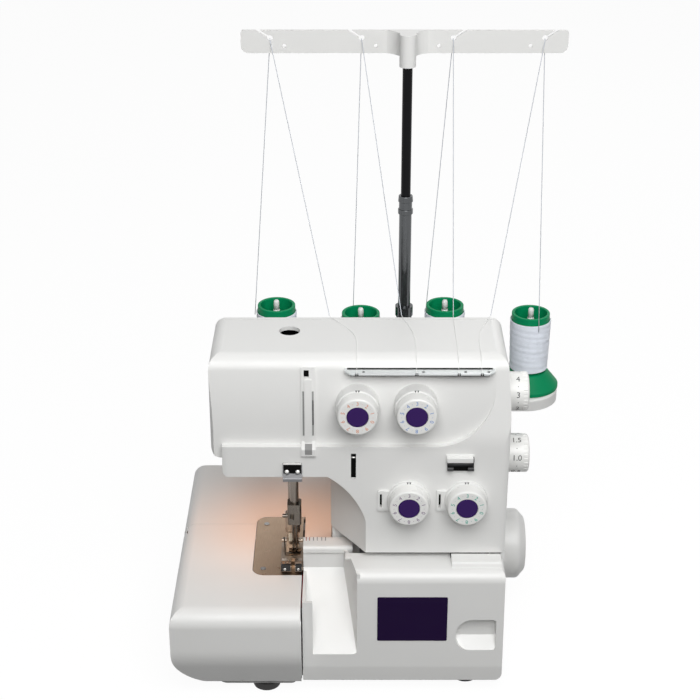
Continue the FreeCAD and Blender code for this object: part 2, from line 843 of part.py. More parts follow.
def thumb_pocket():
    t = cover_wall

    def scoop(grow, deep):
        face = slab_y([(thumb_left - grow, thumb_foot - grow, 11 + grow),
                       (thumb_right + grow, thumb_foot - grow, 3),
                       (thumb_right + grow, thumb_head + grow, 3),
                       (thumb_left - grow, thumb_head + grow, 13 + grow)],
                      cover_front - 2 + 2 * grow / t, cover_front + deep)
        wedge = slab_x([(cover_front - 2, thumb_foot - grow), (cover_front, thumb_foot - grow),
                        (cover_front + deep, thumb_foot + 9 - grow),
                        (cover_front + deep, thumb_head + grow),
                        (cover_front - 2, thumb_head + grow)], thumb_left - 20, thumb_right + 20)
        return face.common(wedge)
    return scoop(t, thumb_depth + t), scoop(0, thumb_depth)


def cover_knuckles():
    knuckles = []
    for x0 in cover_lug_x:
        right = x0 - cover_slide - 0.6
        eye = rod_x(cover_hinge_y, cover_hinge_z, 4.6, right - knuckle_width, right)
        web = block(right - knuckle_width, right, cover_front + 2, cover_hinge_y, cover_hinge_z - 2.5,
                    cover_hinge_z + 4)
        knuckles.extend([eye, web])
    return knuckles


def looper_cover():
    shell = cover_shell().cut(chute_mouth())
    backing, pocket = thumb_pocket()
    shell = join(shell, *chute(), backing)
    shell = shell.cut(pocket)
    shell = join(shell, *cover_knuckles())
    return shell.cut(rod_x(cover_hinge_y, cover_hinge_z, cover_rod_radius + running_gap, -60, 130))


def looper_cover_hinge_rod():
    left = cover_lug_x[0] - cover_slide - knuckle_width - 4
    right = cover_lug_x[1] + 16
    return rod_x(cover_hinge_y, cover_hinge_z, cover_rod_radius, left, right)


# Cast frame that carries the mechanism

def frame_feet():
    rear_inside = rear_left + wall + free_gap
    low, high = base_top, slab_top
    return [block(plate_right, rear_left - 1, frame_front, carrier_rear, low, high),
            block(rear_left - 2, frame_right, frame_front, body_depth - 1, low, high),
            block(rear_inside, frame_right, body_depth - 2, motor_y + 10, low, high)]


def frame_walls():
    low = slab_top - 1
    front_wall_left = nose_right + cover_slide + 5 * free_gap
    rear = knife_front + knife_depth
    motor_rim = motor_radius + 2
    return [block(front_wall_left, right_wall, tension_plate_front, tension_plate_rear, low, front_wall_top),
            block(knife_guide_left, knife_guide_right, knife_front, rear, low, knife_guide_top),
            block(frame_column_left, right_wall, tension_plate_rear - 1, beam_rear, low, arm_beam_top),
            block(right_wall_x, right_wall, wall_front, motor_y + motor_rim, low, motor_z + motor_rim),
            block(left_wall_x, left_wall_x + bearing_width, wall_front, shaft_y + wheel_pulley_radius, low,
                  shaft_z + 2 * bearing_radius)]


def frame_arm():
    low, high = arm_beam_foot, presser_bridge_top
    lug_right = take_up_lug + 6
    lug_rear = beam_front + 2
    front, rear = tension_plate_front, tension_plate_rear
    plate_right_end = tension_plate_right
    return [block(presser_bridge_left, right_wall, beam_front, beam_rear, low, arm_beam_top),
            block(presser_bridge_left, presser_bridge_left + 8, presser_bridge_front, beam_rear, low, high),
            block(presser_bridge_left, presser_x + 14, presser_bridge_front, beam_rear, high - 6, high),
            block(tension_plate_left, plate_right_end, front, rear, bush_foot, tension_plate_top),
            block(lower_plate_left, plate_right_end, front, rear, tension_plate_foot, bush_foot + 1),
            block(frame_column_left - 10, right_wall, rear - 1, beam_rear, arm_beam_top - 1,
                  frame_column_top),
            block(take_up_lug, lug_right, take_up_y - 6, lug_rear, take_up_z - 12, take_up_z + 8),
            block(take_up_lug, lug_right, beam_front - 4, lug_rear, low, take_up_z)]


def plate_carrier():
    low, high = plate_carrier_top - 10, plate_carrier_top
    left = plate_left + 2
    return [block(carrier_right - 12, carrier_right, carrier_front, carrier_rear, slab_top - 1, high),
            block(left, carrier_right, carrier_front, carrier_rear, low, high),
            block(left, left + 12, plate_front + 3, carrier_rear, low, high)]


def main_frame():
    pieces = frame_feet() + frame_walls() + frame_arm() + plate_carrier()
    for x, y in ((needle_x, needle_y), (presser_x, presser_y)):
        pieces.append(rod_z(x, y, bush_radius, bush_foot, arm_beam_foot + 1))
    frame = join(*pieces)
    bores = [rod_z(needle_x, needle_y, bar_radius + running_gap, bush_foot - 5, arm_beam_top + 5),
             rod_z(presser_x, presser_y, bar_radius + running_gap, bush_foot - 5, arm_beam_top + 5),
             rod_x(shaft_y, shaft_z, bearing_radius + fit_gap, left_wall_x - 20, right_wall + 5),
             rod_x(motor_y, motor_z, 8, right_wall_x - 5, right_wall + 5),
             rod_z(presser_x, presser_y, screw_shank_radius + running_gap, presser_bridge_top - 8,
                   presser_bridge_top + 5),
             rod_x(take_up_y, take_up_z, take_up_pin_radius + running_gap, take_up_lug - 5,
                   take_up_lug + 20)]
    for x, z in zip(dial_x, dial_z):
        bores.append(rod_y(x, z, stud_radius + fit_gap, 10, 40))
    for x, z in ((upper_looper_x, upper_looper_z), (lower_looper_x, lower_looper_z)):
        bores.append(rod_y(x, z, looper_pin_radius + running_gap, 10, 35))
    for z in (stitch_dial_z, feed_dial_z):
        bores.append(rod_x(side_dial_y, z, side_spindle_radius + 1, right_wall - 12, right_wall + 5))
    return frame.cut(bores)


# Drive

def handwheel():
    left = body_right + wheel_gap
    r = wheel_radius
    profile = [(shaft_radius + fit_gap, 0), (r - 4, 0, 2), (r, 5, 3), (r, wheel_width - 7, 5),
               (r - 8, wheel_width, 4), (r - 13, wheel_width - 2.5, 2),
               (shaft_radius + fit_gap, wheel_width - 2.5)]
    return turned(profile, V(left, shaft_y, shaft_z), V(1, 0, 0))


def main_shaft():
    right = body_right + wheel_gap + wheel_width - 3
    return rod_x(shaft_y, shaft_z, shaft_radius, shaft_left, right)


def shaft_bearings():
    rings = []
    for x in (left_wall_x, right_wall_x):
        ring = rod_x(shaft_y, shaft_z, bearing_radius, x, x + bearing_width)
        rings.append(ring.cut(rod_x(shaft_y, shaft_z, shaft_radius + running_gap, x - 1,
                                    x + bearing_width + 1)))
    return Part.makeCompound(rings)


def pulley(y, z, radius, bore):
    rim = radius + 2.0
    groove = radius - 1.0
    w = pulley_width
    profile = [(bore + fit_gap, 0), (rim, 0), (rim, 1.2), (groove, 2.2), (groove, w - 2.2), (rim, w - 1.2),
               (rim, w), (bore + fit_gap, w)]
    return turned(profile, V(pulley_x, y, z), V(1, 0, 0))


def handwheel_pulley():
    return pulley(shaft_y, shaft_z, wheel_pulley_radius, shaft_radius)


def motor_pulley():
    return pulley(motor_y, motor_z, motor_pulley_radius, motor_shaft_radius)


def belt_loop(grow):
    """The area inside a belt that runs grow away from both pulleys, in the Y and Z plane."""
    dy = motor_y - shaft_y
    dz = motor_z - shaft_z
    span = math.hypot(dy, dz)
    big = wheel_pulley_radius + grow
    small = motor_pulley_radius + grow
    lean = math.asin((big - small) / span)
    along = math.atan2(dz, dy)

    def spot(y, z, radius, angle):
        return V(0, y + radius * math.cos(angle), z + radius * math.sin(angle))
    up = along + math.pi / 2 - lean
    down = along - math.pi / 2 + lean
    a = spot(shaft_y, shaft_z, big, up)
    b = spot(motor_y, motor_z, small, up)
    c = spot(motor_y, motor_z, small, down)
    d = spot(shaft_y, shaft_z, big, down)
    edges = [Part.makeLine(a, b), Part.Arc(b, spot(motor_y, motor_z, small, along), c).toShape(),
             Part.makeLine(c, d), Part.Arc(d, spot(shaft_y, shaft_z, big, along + math.pi), a).toShape()]
    return Part.Face(Part.Wire(edges))


def drive_belt():
    x0 = pulley_x + 2.2 + free_gap
    width = pulley_width - 2 * (2.2 + free_gap)
    loop = belt_loop(belt_thickness - 1 + free_gap).cut(belt_loop(free_gap - 1))
    loop.translate(V(x0, 0, 0))
    return loop.extrude(V(width, 0, 0))


def motor():
    right = right_wall_x
    profile = [(0, 0), (motor_radius - 3, 0, 2), (motor_radius, 4, 2), (motor_radius, motor_length - 5, 2),
               (motor_radius - 6, motor_length, 1), (0, motor_length)]
    can = turned(profile, V(right - motor_length, motor_y, motor_z), V(1, 0, 0))
    spindle = rod_x(motor_y, motor_z, motor_shaft_radius - running_gap, right - 5, right_wall)
    return join(can, spindle)


# Tension units

def tension_dial(index):
    x = dial_x[index]
    z = dial_z[index]
    inner = stud_radius + running_gap
    depth = dial_length
    profile = [(inner, 2), (12, 2, 1), (12, 0.0), (dial_radius + 0.7, 0, 0.6), (dial_radius, depth, 1.6),
               (cap_radius + free_gap, depth, 0.3),
               (cap_radius + free_gap, depth - cap_thickness - 0.2), (inner, depth - cap_thickness - 0.2)]
    return turned(profile, V(x, dial_back, z), V(0, -1, 0))


def tension_caps():
    caps = []
    for x, z in zip(dial_x, dial_z):
        profile = [(0, 0), (cap_radius, 0), (cap_radius, cap_thickness, 0.5), (0, cap_thickness)]
        caps.append(turned(profile, V(x, stud_front, z), V(0, -1, 0)))
    return Part.makeCompound(caps)


def tension_discs():
    pieces = []
    for x, z in zip(dial_x, dial_z):
        pieces.append(rod_y(x, z, stud_radius, stud_front, tension_plate_rear))
        for y in (tension_plate_front - 7, tension_plate_front - 5.6):
            disc = rod_y(x, z, tension_disc_radius, y, y + tension_disc_thickness)
            pieces.append(disc.cut(rod_y(x, z, stud_radius + fit_gap, y - 1, y + 4)))
    return Part.makeCompound(pieces)


# Side dials

def side_dial(z, length):
    r = side_dial_radius
    start = body_right + 0.6
    profile = [(0, -14), (side_spindle_radius, -14), (side_spindle_radius, 0), (r, 0, 0.8),
               (r, length, 2.2),
               (r - 6, length, 1), (r - 7.5, length - 1, 0.5), (0, length - 1)]
    dial = turned(profile, V(start, side_dial_y, z), V(1, 0, 0))
    grip = 28
    flutes = []
    for i in range(grip):
        turn = 2 * math.pi * i / grip
        y = side_dial_y + (r + 0.25) * math.cos(turn)
        flutes.append(rod_x(y, z + (r + 0.25) * math.sin(turn), 0.7, start + length - 4.5,
                            start + length + 1))
    return dial.cut(flutes)


def stitch_length_dial():
    return side_dial(stitch_dial_z, stitch_dial_length)


def differential_dial():
    return side_dial(feed_dial_z, feed_dial_length)


# Needle bar, presser bar and what they carry

def needle_bar():
    return rod_z(needle_x, needle_y, bar_radius, needle_bar_foot, needle_bar_foot + needle_bar_length)


def needle_places():
    return [(needle_x + side * needle_pitch / 2, needle_y - side * 0.6) for side in (-1, 1)]


def needle_clamp():
    body = slab_z([(needle_x - clamp_half, needle_y - clamp_half, 2),
                   (needle_x + clamp_half, needle_y - clamp_half, 2),
                   (needle_x + clamp_half, needle_y + clamp_half, 2),
                   (needle_x - clamp_half, needle_y + clamp_half, 2)], clamp_foot, clamp_top)
    screw = rod_y(needle_x - 2, clamp_foot + 6, 1.8, needle_y - clamp_half - 4, needle_y - clamp_half + 1)
    finger = rod_x(needle_y - 1, clamp_foot + 6, 1.6, needle_x - clamp_half - 4, needle_x - clamp_half + 1)
    body = join(body, screw, finger)
    tools = [rod_z(needle_x, needle_y, bar_radius + fit_gap, needle_bar_foot, clamp_top + 1)]
    for x, y in needle_places():
        tools.append(rod_z(x, y, shank_radius + fit_gap, clamp_foot - 1, clamp_foot + shank_depth))
    return body.cut(tools)


def needles():
    made = []
    for x, y in needle_places():
        profile = [(0, needle_tip), (needle_radius, needle_tip + 5), (needle_radius, clamp_foot - 12),
                   (shank_radius, clamp_foot - 10), (shank_radius, clamp_foot + shank_depth),
                   (0, clamp_foot + shank_depth)]
        made.append(turned(profile, V(x, y, 0), V(0, 0, 1)))
    return Part.makeCompound(made)


def presser_bar():
    return rod_z(presser_x, presser_y, bar_radius, presser_bar_foot, presser_bar_foot + presser_bar_length)


def presser_foot():
    sole = foot_sole
    top = sole + foot_thickness
    plate = slab_z([(foot_left_edge, 21, 2), (foot_right_edge, 21, 1), (foot_right_edge, 66, 1),
                    (foot_left_edge, 66, 2)], sole, top)
    toes = slab_x([(19.5, sole), (30, sole), (30, top + 3, 1), (24, top + 4, 2), (19.5, top + 1.5, 1)],
                  foot_left_edge + 1, foot_right_edge - 1)
    toe_gap = block(needle_x - 2.5, needle_x + 0.5, 15, 34, sole - 1, top + 9)
    ankle = slab_y([(presser_x - 6, sole + 1), (presser_x + 5, sole + 1),
                    (presser_x + 4, presser_bar_foot - 4),
                    (presser_x - 4, presser_bar_foot - 4)], presser_y - 7, presser_y + 4)
    shank = slab_z([(presser_x - 6, presser_y - 6, 2), (presser_x + 6, presser_y - 6, 2),
                    (presser_x + 6, presser_y + 6, 2), (presser_x - 6, presser_y + 6, 2)],
                   presser_bar_foot - 6, foot_shank_top)
    pin = rod_x(presser_y - 4, sole + 7, 1.4, presser_x - 9, presser_x + 8)
    foot = join(plate, toes, ankle, shank, pin)
    slot = block(needle_x - 5, needle_x + 4.5, needle_y - 5.5, needle_y + 5.5, sole - 1, top + 9)
    bore = rod_z(presser_x, presser_y, bar_radius + fit_gap, presser_bar_foot, foot_shank_top + 1)
    return foot.cut([slot, bore, toe_gap])


def presser_spring():
    coil = rod_z(presser_x, presser_y, bar_radius + 2.2, spring_foot, spring_top)
    return coil.cut(rod_z(presser_x, presser_y, bar_radius + 0.4, spring_foot - 1, spring_top + 1))


def pressure_screw():
    profile = [(0, spring_top), (screw_shank_radius, spring_top), (screw_shank_radius, spring_top + 10),
               (top_hole_radius - 0.6, spring_top + 10), (top_hole_radius - 0.6, spring_top + 20, 1),
               (0, spring_top + 20)]
    screw = turned(profile, V(presser_x, presser_y, 0), V(0, 0, 1))
    slot = block(presser_x - 9, presser_x + 9, presser_y - 0.8, presser_y + 0.8, spring_top + 17.5,
                 spring_top + 25)
    return screw.cut(slot)


def presser_lifter():
    y = presser_lever_y
    z = presser_lever_z
    hub = rod_x(y, z, lever_hub_radius, presser_lever_x - 6, presser_lever_x + 6)
    arm = slab_x([(y, z - 3), (y + 22, z - 3, 4), (y + 22, z - 24, 1), (y + 28, z - 26, 2),
                  (y + 28, z + 3, 6),
                  (y, z + 3)], presser_lever_x - 4, presser_lever_x + 4)
    return join(hub, arm)


# Stitching parts under and beside the needle plate

def needle_plate():
    plate = slab_z(needle_plate_outline(0), bed_height - plate_thickness, bed_height)
    tools = []
    for x in feed_row_x:
        for front, rear in feed_rows:
            tools.append(block(x - feed_width / 2 - feed_gap, x + feed_width / 2 + feed_gap,
                               front - feed_stroke - feed_gap,
                               rear + feed_return + feed_gap, bed_height - 9, bed_height + 2))
    tools.append(slab_z([(needle_x - 3.4, needle_y - 3, 1.4), (needle_x + 3, needle_y - 3, 1.4),
                         (needle_x + 3, needle_y + 3, 1.4), (needle_x - 3.4, needle_y + 3, 1.4)],
                        bed_height - 9, bed_height + 2))
    for x, y in plate_screw_places():
        tools.append(rod_z(x, y, 2.2 + fit_gap, bed_height - 9, bed_height + 2))
    return plate.cut(tools)


def plate_screw_places():
    return [(plate_left + 8, plate_front + 9), (plate_left + 8, plate_rear - 11)]


def feed_dogs():
    floor = bed_height - 12
    rails = []
    for x in feed_row_x:
        for front, rear in feed_rows:
            teeth = int((rear - front) / 2)
            points = [(front, floor), (rear, floor), (rear, bed_height + 0.4)]
            for i in range(teeth):
                points.append((rear - 2 * i - 1, bed_height + 1.2))
                points.append((rear - 2 * i - 2, bed_height + 0.4))
            rails.append(slab_x(points, x - feed_width / 2, x + feed_width / 2))
    left = feed_row_x[0] - 2
    right = feed_row_x[1] + 2
    rails.append(block(left, right, feed_rows[0][0], carrier_front - 2 * feed_return, floor - 4,
                       floor + 0.5))
    return join(*rails)


def upper_knife():
    left = plate_right + 2 * free_gap + knife_thickness
    rear = knife_front + knife_depth
    blade = slab_x([(knife_front, 58), (rear, 58), (rear, bed_height + 9, 2),
                    (knife_front, bed_height + 3)],
                   left, left + knife_thickness)
    holder = block(left, knife_guide_left - free_gap, knife_front, rear, 56, 70)
    return join(blade, holder)


def lower_knife():
    left = plate_right + free_gap
    return block(left, left + knife_thickness, knife_front, knife_front + knife_depth, slab_top,
                 bed_height - 0.1)


def knife_release_lever():
    left = plate_right + 3 * free_gap
    return slab_x([(knife_front, 72), (knife_front, 80), (-4, 80, 2), (-9, 76, 2), (-9, 70, 2),
                   (-2, 72, 2)],
                  left, left + 2 * free_gap)


def looper(x, z, reach, rise, front, thick, pin_rear):
    arm = slab_y([(x + 6, z - 6, 5), (x + 6, z + 6, 5), (x - reach, z + rise + 3, 1.5),
                  (x - reach - 5, z + rise, 0.5),
                  (x - reach, z + rise - 2, 1)], front, front + thick)
    pin = rod_y(x, z, looper_pin_radius, front + 1, pin_rear)
    return join(arm, pin)


def upper_looper():
    return looper(upper_looper_x, upper_looper_z, 52, 2, 15, 5, tension_plate_rear)


def lower_looper():
    return looper(lower_looper_x, lower_looper_z, 48, 16, 8, 5, tension_plate_rear)


# Thread guides, take-up and lamp on the front

def take_up_cover():
    left = take_up_x - take_up_cover_half
    right = take_up_x + take_up_cover_half
    proud = take_up_cover_proud
    foot = panel_foot - take_up_foot_drop
    deep = boss_root
    plate = panel_slab(-proud, deep, left, right).cut(block(left - 1, right + 1, -20, 60, 0, panel_foot))
    toe = slab_x([(panel_depth - proud, panel_foot + 3), (-take_up_foot_proud, panel_foot - 0.5, 2),
                  (-take_up_foot_proud, foot, 1), (panel_depth, foot), (deep, panel_foot + 3)], left, right)
    bar = panel_slab(-proud - take_up_bar_proud, deep, take_up_x - 2.8, take_up_x + 2.6)
    bar = bar.common(block(left, right, -20, 60, panel_foot + 2.5, panel_head - 4))
    cover = join(plate, toe, bar).cut(panel_slab(-fit_gap, 3 * deep, left - 1, right + 1).cut(
        block(left - 2, right + 2, -20, 60, 0, panel_foot)))
    tools = [block(take_up_x - 3.2, take_up_x + 0.6, -20, 60, panel_head - 2.3, panel_head + 3)]
    for x in (take_up_x - 4.3, take_up_x + 2.8):
        tools.append(block(x, x + 1.3, -20, 60, take_up_slot_foot + 3, take_up_slot_head - 3))
    return cover.cut(body_envelope()).cut(tools)


def take_up_lever():
    hub = rod_x(take_up_y, take_up_z, 5, take_up_x - 2, take_up_x + 2)
    arm = slab_x([(take_up_y, take_up_z - 3.5), (take_up_y, take_up_z + 3.5),
                  (take_up_tip, take_up_z + 2, 1.5), (take_up_tip, take_up_z - 2, 1.5)],
                 take_up_x - 1.2, take_up_x + 1.2)
    pin = rod_x(take_up_y, take_up_z, take_up_pin_radius, take_up_x, take_up_lug + 6)
    eye = rod_x(take_up_tip + 3, take_up_z, 1, take_up_x - 5, take_up_x + 5)
    return join(hub, arm, pin).cut(eye)


def thread_guide_plate():
    plate = slab_z([(guide_left, 14), (guide_left, guide_front + 5), (guide_left + 5, guide_front, 1),
                    (guide_right - 5, guide_front, 1), (guide_right, guide_front + 5), (guide_right, 14)],
                   guide_z, guide_z + guide_thickness)
    notches = []
    for x in guide_notch_x:
        notches.append(rod_z(x, guide_front + 0.5, 1.3, guide_z - 5, guide_z + 5))
        notches.append(rod_z(x + 5, guide_front + 3.5, 1.2, guide_z - 5, guide_z + 5))
    return plate.cut(body_envelope()).cut(notches)


def tension_thread_guide():
    low = 190.0
    clip = slab_x([(0, low), (-4.2, low + 1.2, 0.5), (-4.2, low + 4, 0.5), (-1.2, low + 4.5),
                   (-1.2, low + 8),
                   (-3.6, low + 8.5, 0.4), (-3.6, low + 11.5, 1), (0, low + 12)], 73, 93)
    gap = block(77.5, 88.5, -6, -1.3, low - 1, low + 4.3)
    return clip.cut(gap)


def needle_thread_guide():
    z = arm_bottom
    clip = slab_x([(0, z + 12), (-1.6, z + 12, 0.4), (-1.6, z + 3.6), (-5, z + 1, 0.6), (-5, z - 1.4),
                   (0, z - 1.4),
                   (8, z - 1.4), (8, z), (0, z)], needle_x - 6.5, needle_x + 8)
    window = block(needle_x - 4.5, needle_x + 6, -8, -0.6, z + 4.6, z + 10.5)
    return clip.cut(body_envelope()).cut(window)


def sewing_lamp():
    z = arm_bottom
    profile = [(0, z - 2.5), (lamp_radius - 2, z - 1.5, 1.5), (lamp_radius, z), (lamp_radius, z + wall),
               (lamp_radius / 2, z + wall), (lamp_radius / 2, z + 16, 3), (0, z + 16)]
    return turned(profile, V(lamp_x, lamp_y, 0), V(0, 0, 1))


# Mains inlet, switch and screws

def power_inlet():
    right = body_right + 0.5
    gap = free_gap
    body = block(body_right - 10, right, inlet_y - inlet_half + gap, inlet_y + inlet_half - gap,
                 inlet_z - inlet_half_height + gap, inlet_z + inlet_half_height - gap)
    well = block(right - inlet_depth, right + 1, inlet_y - inlet_half + inlet_wall,
                 inlet_y + inlet_half - inlet_wall,
                 inlet_z - inlet_half_height + inlet_wall, inlet_z + inlet_half_height - inlet_wall)
    pins = [rod_x(inlet_y + side * 5, inlet_z, 1.2, right - 8, right - 1) for side in (-1, 0, 1)]
    return join(body.cut(well), *pins)


def power_switch():
    half = switch_half_height - 1.1
    x = switch_pivot_x
    rocker = slab_y([(x - 3, switch_z - half, 1), (x + 5.6, switch_z - half, 0.6), (x + 4.6, switch_z, 20),
                     (x + 5.6, switch_z + half, 0.6), (x - 3, switch_z + half, 1)],
                    switch_y - switch_half + free_gap, switch_y + switch_half - free_gap)
    rocker.rotate(V(x, switch_y, switch_z), V(0, 1, 0), switch_tilt)
    return rocker


def casing_screw_places():
    return [(x, z) for x in (rear_left + screw_inset, body_right - screw_inset) for z in screw_heights]


def casing_screws():
    screws = []
    for x, z in casing_screw_places():
        head = rod_y(x, z, screw_head_radius, machine_rear - screw_head_depth, machine_rear)
        shank = rod_y(x, z, screw_radius, machine_rear - screw_length, machine_rear - screw_head_depth / 2)
        screws.append(head.fuse(shank).removeSplitter())
    for x, y in plate_screw_places():
        screws.append(rod_z(x, y, 2.2, bed_height - plate_thickness, bed_height + 0.4))
    return Part.makeCompound(screws)


def screw_seats():
    """Counterbores for the screw heads and holes for their shanks in the rear casing."""
    seats = []
    for x, z in casing_screw_places():
        seats.append(rod_y(x, z, screw_head_radius + fit_gap, machine_rear - screw_head_depth,
                           machine_rear + 2))
        seats.append(rod_y(x, z, screw_radius + fit_gap, machine_rear - screw_length - wall, machine_rear))
    return seats


# Spool stand, telescopic pole and thread bar

def spool_stand():
    front, rear, end = stand_front, stand_rear, 28
    plate = slab_z([(stand_left, front, end), (stand_right, front, end), (stand_right, rear, end),
                    (stand_left, rear, end)], stand_foot, stand_top)
    plate = soften(plate, 2.0, lambda middle, length: near(middle.z, stand_top))
    tools = [rod_z(pole_x, pole_y, pole_lower_radius + fit_gap, stand_foot - 1, stand_top + 1)]
    for x, y in zip(pin_x, pin_y):
        tools.append(rod_z(x, y, pin_radius + fit_gap, stand_top - 5, stand_top + 1))
    return plate.cut(tools)


def spool_pins():
    pins = []
    for x, y in zip(pin_x, pin_y):
        top = stand_top + pin_height
        profile = [(0, stand_top - 5), (pin_radius, stand_top - 5), (pin_radius, top, 1.6), (0, top + 0.6)]
        pins.append(turned(profile, V(x, y, 0), V(0, 0, 1)))
    return Part.makeCompound(pins)


def pole_tube(radius, bore, low, high):
    return rod_z(pole_x, pole_y, radius, low, high).cut(rod_z(pole_x, pole_y, bore, low - 1, high + 1))


def pole_lower():
    bore = pole_middle_radius + running_gap
    tube = pole_tube(pole_lower_radius, bore, pole_lower_foot, pole_lower_top)
    collar = pole_tube(pole_lower_radius + 0.9, bore, pole_lower_top - collar_height, pole_lower_top)
    return tube.fuse(collar).removeSplitter()


def pole_middle():
    bore = pole_radius + running_gap
    r = pole_middle_radius
    profile = [(bore, pole_middle_foot), (r, pole_middle_foot), (r, middle_collar_foot),
               (r + 1, middle_collar_foot, 0.4),
               (r + 1, middle_collar_foot + 4, 0.4), (r + 0.3, middle_collar_foot + 4),
               (r + 0.3, middle_collar_top - 5),
               (r + 1, middle_collar_top - 5, 0.4), (r + 0.6, middle_collar_top, 0.6),
               (bore, middle_collar_top)]
    return turned(profile, V(pole_x, pole_y, 0), V(0, 0, 1))


def pole_upper():
    return rod_z(pole_x, pole_y, pole_radius, pole_upper_foot, bar_top - 4)


def thread_guide_bar():
    plate = slab_y([(bar_left, bar_foot, 6), (bar_right, bar_foot, 6), (bar_right, bar_top, 2.5),
                    (bar_left, bar_top, 2.5)], bar_front, bar_rear)
    hub = rod_z(pole_x, pole_y, hub_radius, hub_foot, bar_top)
    web_half, web_mid = 26.0, 10.0
    inner = bar_front + 0.6
    neck = pole_y + 1.5

    def sweep(side):
        return Part.Arc(V(pole_x + side * web_half, inner, bar_foot),
                        V(pole_x + side * web_mid, inner - 4, bar_foot),
                        V(pole_x + side * (hub_radius - 0.8), neck, bar_foot)).toShape()
    edges = [sweep(-1), Part.makeLine(V(pole_x - hub_radius + 0.8, neck, bar_foot),
                                      V(pole_x + hub_radius - 0.8, neck, bar_foot)), sweep(1),
             Part.makeLine(V(pole_x + web_half, inner, bar_foot), V(pole_x - web_half, inner, bar_foot))]
    web = Part.Face(Part.Wire(Part.sortEdges(edges)[0])).extrude(V(0, 0, bar_height))
    bar = join(plate, hub, web)
    tools = [rod_z(pole_x, pole_y, pole_radius + fit_gap, hub_foot - 1, bar_top - 4)]
    for i, x in enumerate(pin_x):
        side = -1 if i < 2 else 1
        tools.append(rod_y(x, eyelet_z, eyelet_radius, bar_front - 3, bar_rear + 3))
        lean = side * 12.0
        slit = [(x - eyelet_slit, eyelet_z), (x + eyelet_slit, eyelet_z),
                (x + lean + eyelet_slit, bar_top + 2),
                (x + lean - eyelet_slit, bar_top + 2)]
        tools.append(slab_y(slit, bar_front - 3, bar_rear + 3))
        tools.append(rod_y(x - side * 10.8, eyelet_z - 6, 1.5, bar_front - 3, bar_rear + 3))
    return bar.cut(tools)


# Thread spools and threads

def spool_cores():
    cores = []
    for x, y in zip(pin_x, pin_y):
        r = spool_rim_radius
        profile = [(spool_bore_radius, stand_top), (spool_base_radius, stand_top, 0.6),
                   (spool_base_radius, stand_top + 3, 1),
                   (spool_core_radius + 2.5, stand_top + spool_cone_height, 3),
                   (spool_core_radius, stand_top + spool_cone_height), (spool_core_radius, pack_head),
                   (r, pack_head, 0.6), (r, spool_top, 0.6), (r - 2.4, spool_top, 0.6),
                   (r - 3.4, spool_top - 14),
                   (spool_bore_radius, spool_top - 14)]
        cores.append(turned(profile, V(x, y, 0), V(0, 0, 1)))
    return Part.makeCompound(cores)


def spool_packs():
    packs = []
    for x, y in zip(pin_x, pin_y):
        bore = spool_core_radius + fit_gap
        profile = [(bore, pack_foot), (pack_foot_radius, pack_foot), (pack_head_radius, pack_head - 0.2),
                   (bore, pack_head - 0.2)]
        packs.append(turned(profile, V(x, y, 0), V(0, 0, 1)))
    return Part.makeCompound(packs)


def winding_point(turn):
    """A point of the winding and its direction, turn counted from the foot of the pack."""
    rise = winding_pitch * turn
    slope = (pack_head_radius - pack_foot_radius) / (pack_head - pack_foot)
    radius = pack_foot_radius + slope * (rise + winding_wire) + winding_lift + winding_wire / 2
    angle = 2 * math.pi * turn
    spot = V(radius * math.cos(angle), radius * math.sin(angle), pack_foot + winding_wire + rise)
    swell = slope * winding_pitch / (2 * math.pi)
    ahead = V(swell * math.cos(angle) - radius * math.sin(angle),
              swell * math.sin(angle) + radius * math.cos(angle),
              winding_pitch / (2 * math.pi))
    return spot, ahead.normalize()


def tangent_arc(start, ahead, end):
    """The arc from start, leaving along ahead, to end."""
    chord = end - start
    half = chord.getAngle(ahead)
    side = (ahead - chord.normalize() * math.cos(half)).normalize()
    middle = start + (end - start) * 0.5 + side * ((end - start).Length / 2 * math.tan(half / 2))
    return Part.Arc(start, middle, end).toShape()


def biarc(start, ahead, end, onward):
    """Two tangent arcs between two points with given directions."""
    span = end - start
    both = ahead + onward
    bend = 2 * (1 - ahead.dot(onward))
    reach = (-span.dot(both) + math.sqrt(span.dot(both) ** 2 + bend * span.dot(span))) / bend
    meet = (start + ahead * reach + end - onward * reach) * 0.5
    back = tangent_arc(end, onward * -1, meet)
    return [tangent_arc(start, ahead, meet), back]


def winding_route():
    steps = 4 * winding_turns
    stations = [winding_point(i / 4) for i in range(steps + 1)]
    first, start_ahead = stations[0]
    last, end_ahead = stations[-1]
    edges = [Part.makeLine(first - start_ahead * winding_wire, first)]
    for (a, ahead), (b, onward) in zip(stations, stations[1:]):
        edges.extend(biarc(a, ahead, b, onward))
    edges.append(Part.makeLine(last, last + end_ahead * winding_wire))
    return Part.Wire(Part.sortEdges(edges)[0])


def least_winding_gap():
    """The smallest distance between neighbouring turns of the wire, skin to skin."""
    per_turn = 24
    points = [winding_point(i / per_turn)[0] for i in range(per_turn * winding_turns + 1)]
    least = 1e9
    for i, a in enumerate(points):
        for b in points[i + per_turn // 2:i + per_turn * 2]:
            least = min(least, (a - b).Length)
    return least - winding_wire


def wire_tube(route, diameter):
    edge = route.Edges[0]
    start = edge.valueAt(edge.FirstParameter)
    ahead = edge.tangentAt(edge.FirstParameter)
    ring = Part.Wire(Part.makeCircle(diameter / 2, start, ahead))
    return route.makePipeShell([ring], True, False)


def spool_windings():
    tube = wire_tube(winding_route(), winding_wire)
    windings = []
    for x, y in zip(pin_x, pin_y):
        copy = tube.copy()
        copy.translate(V(x, y, 0))
        windings.append(copy)
    return Part.makeCompound(windings)


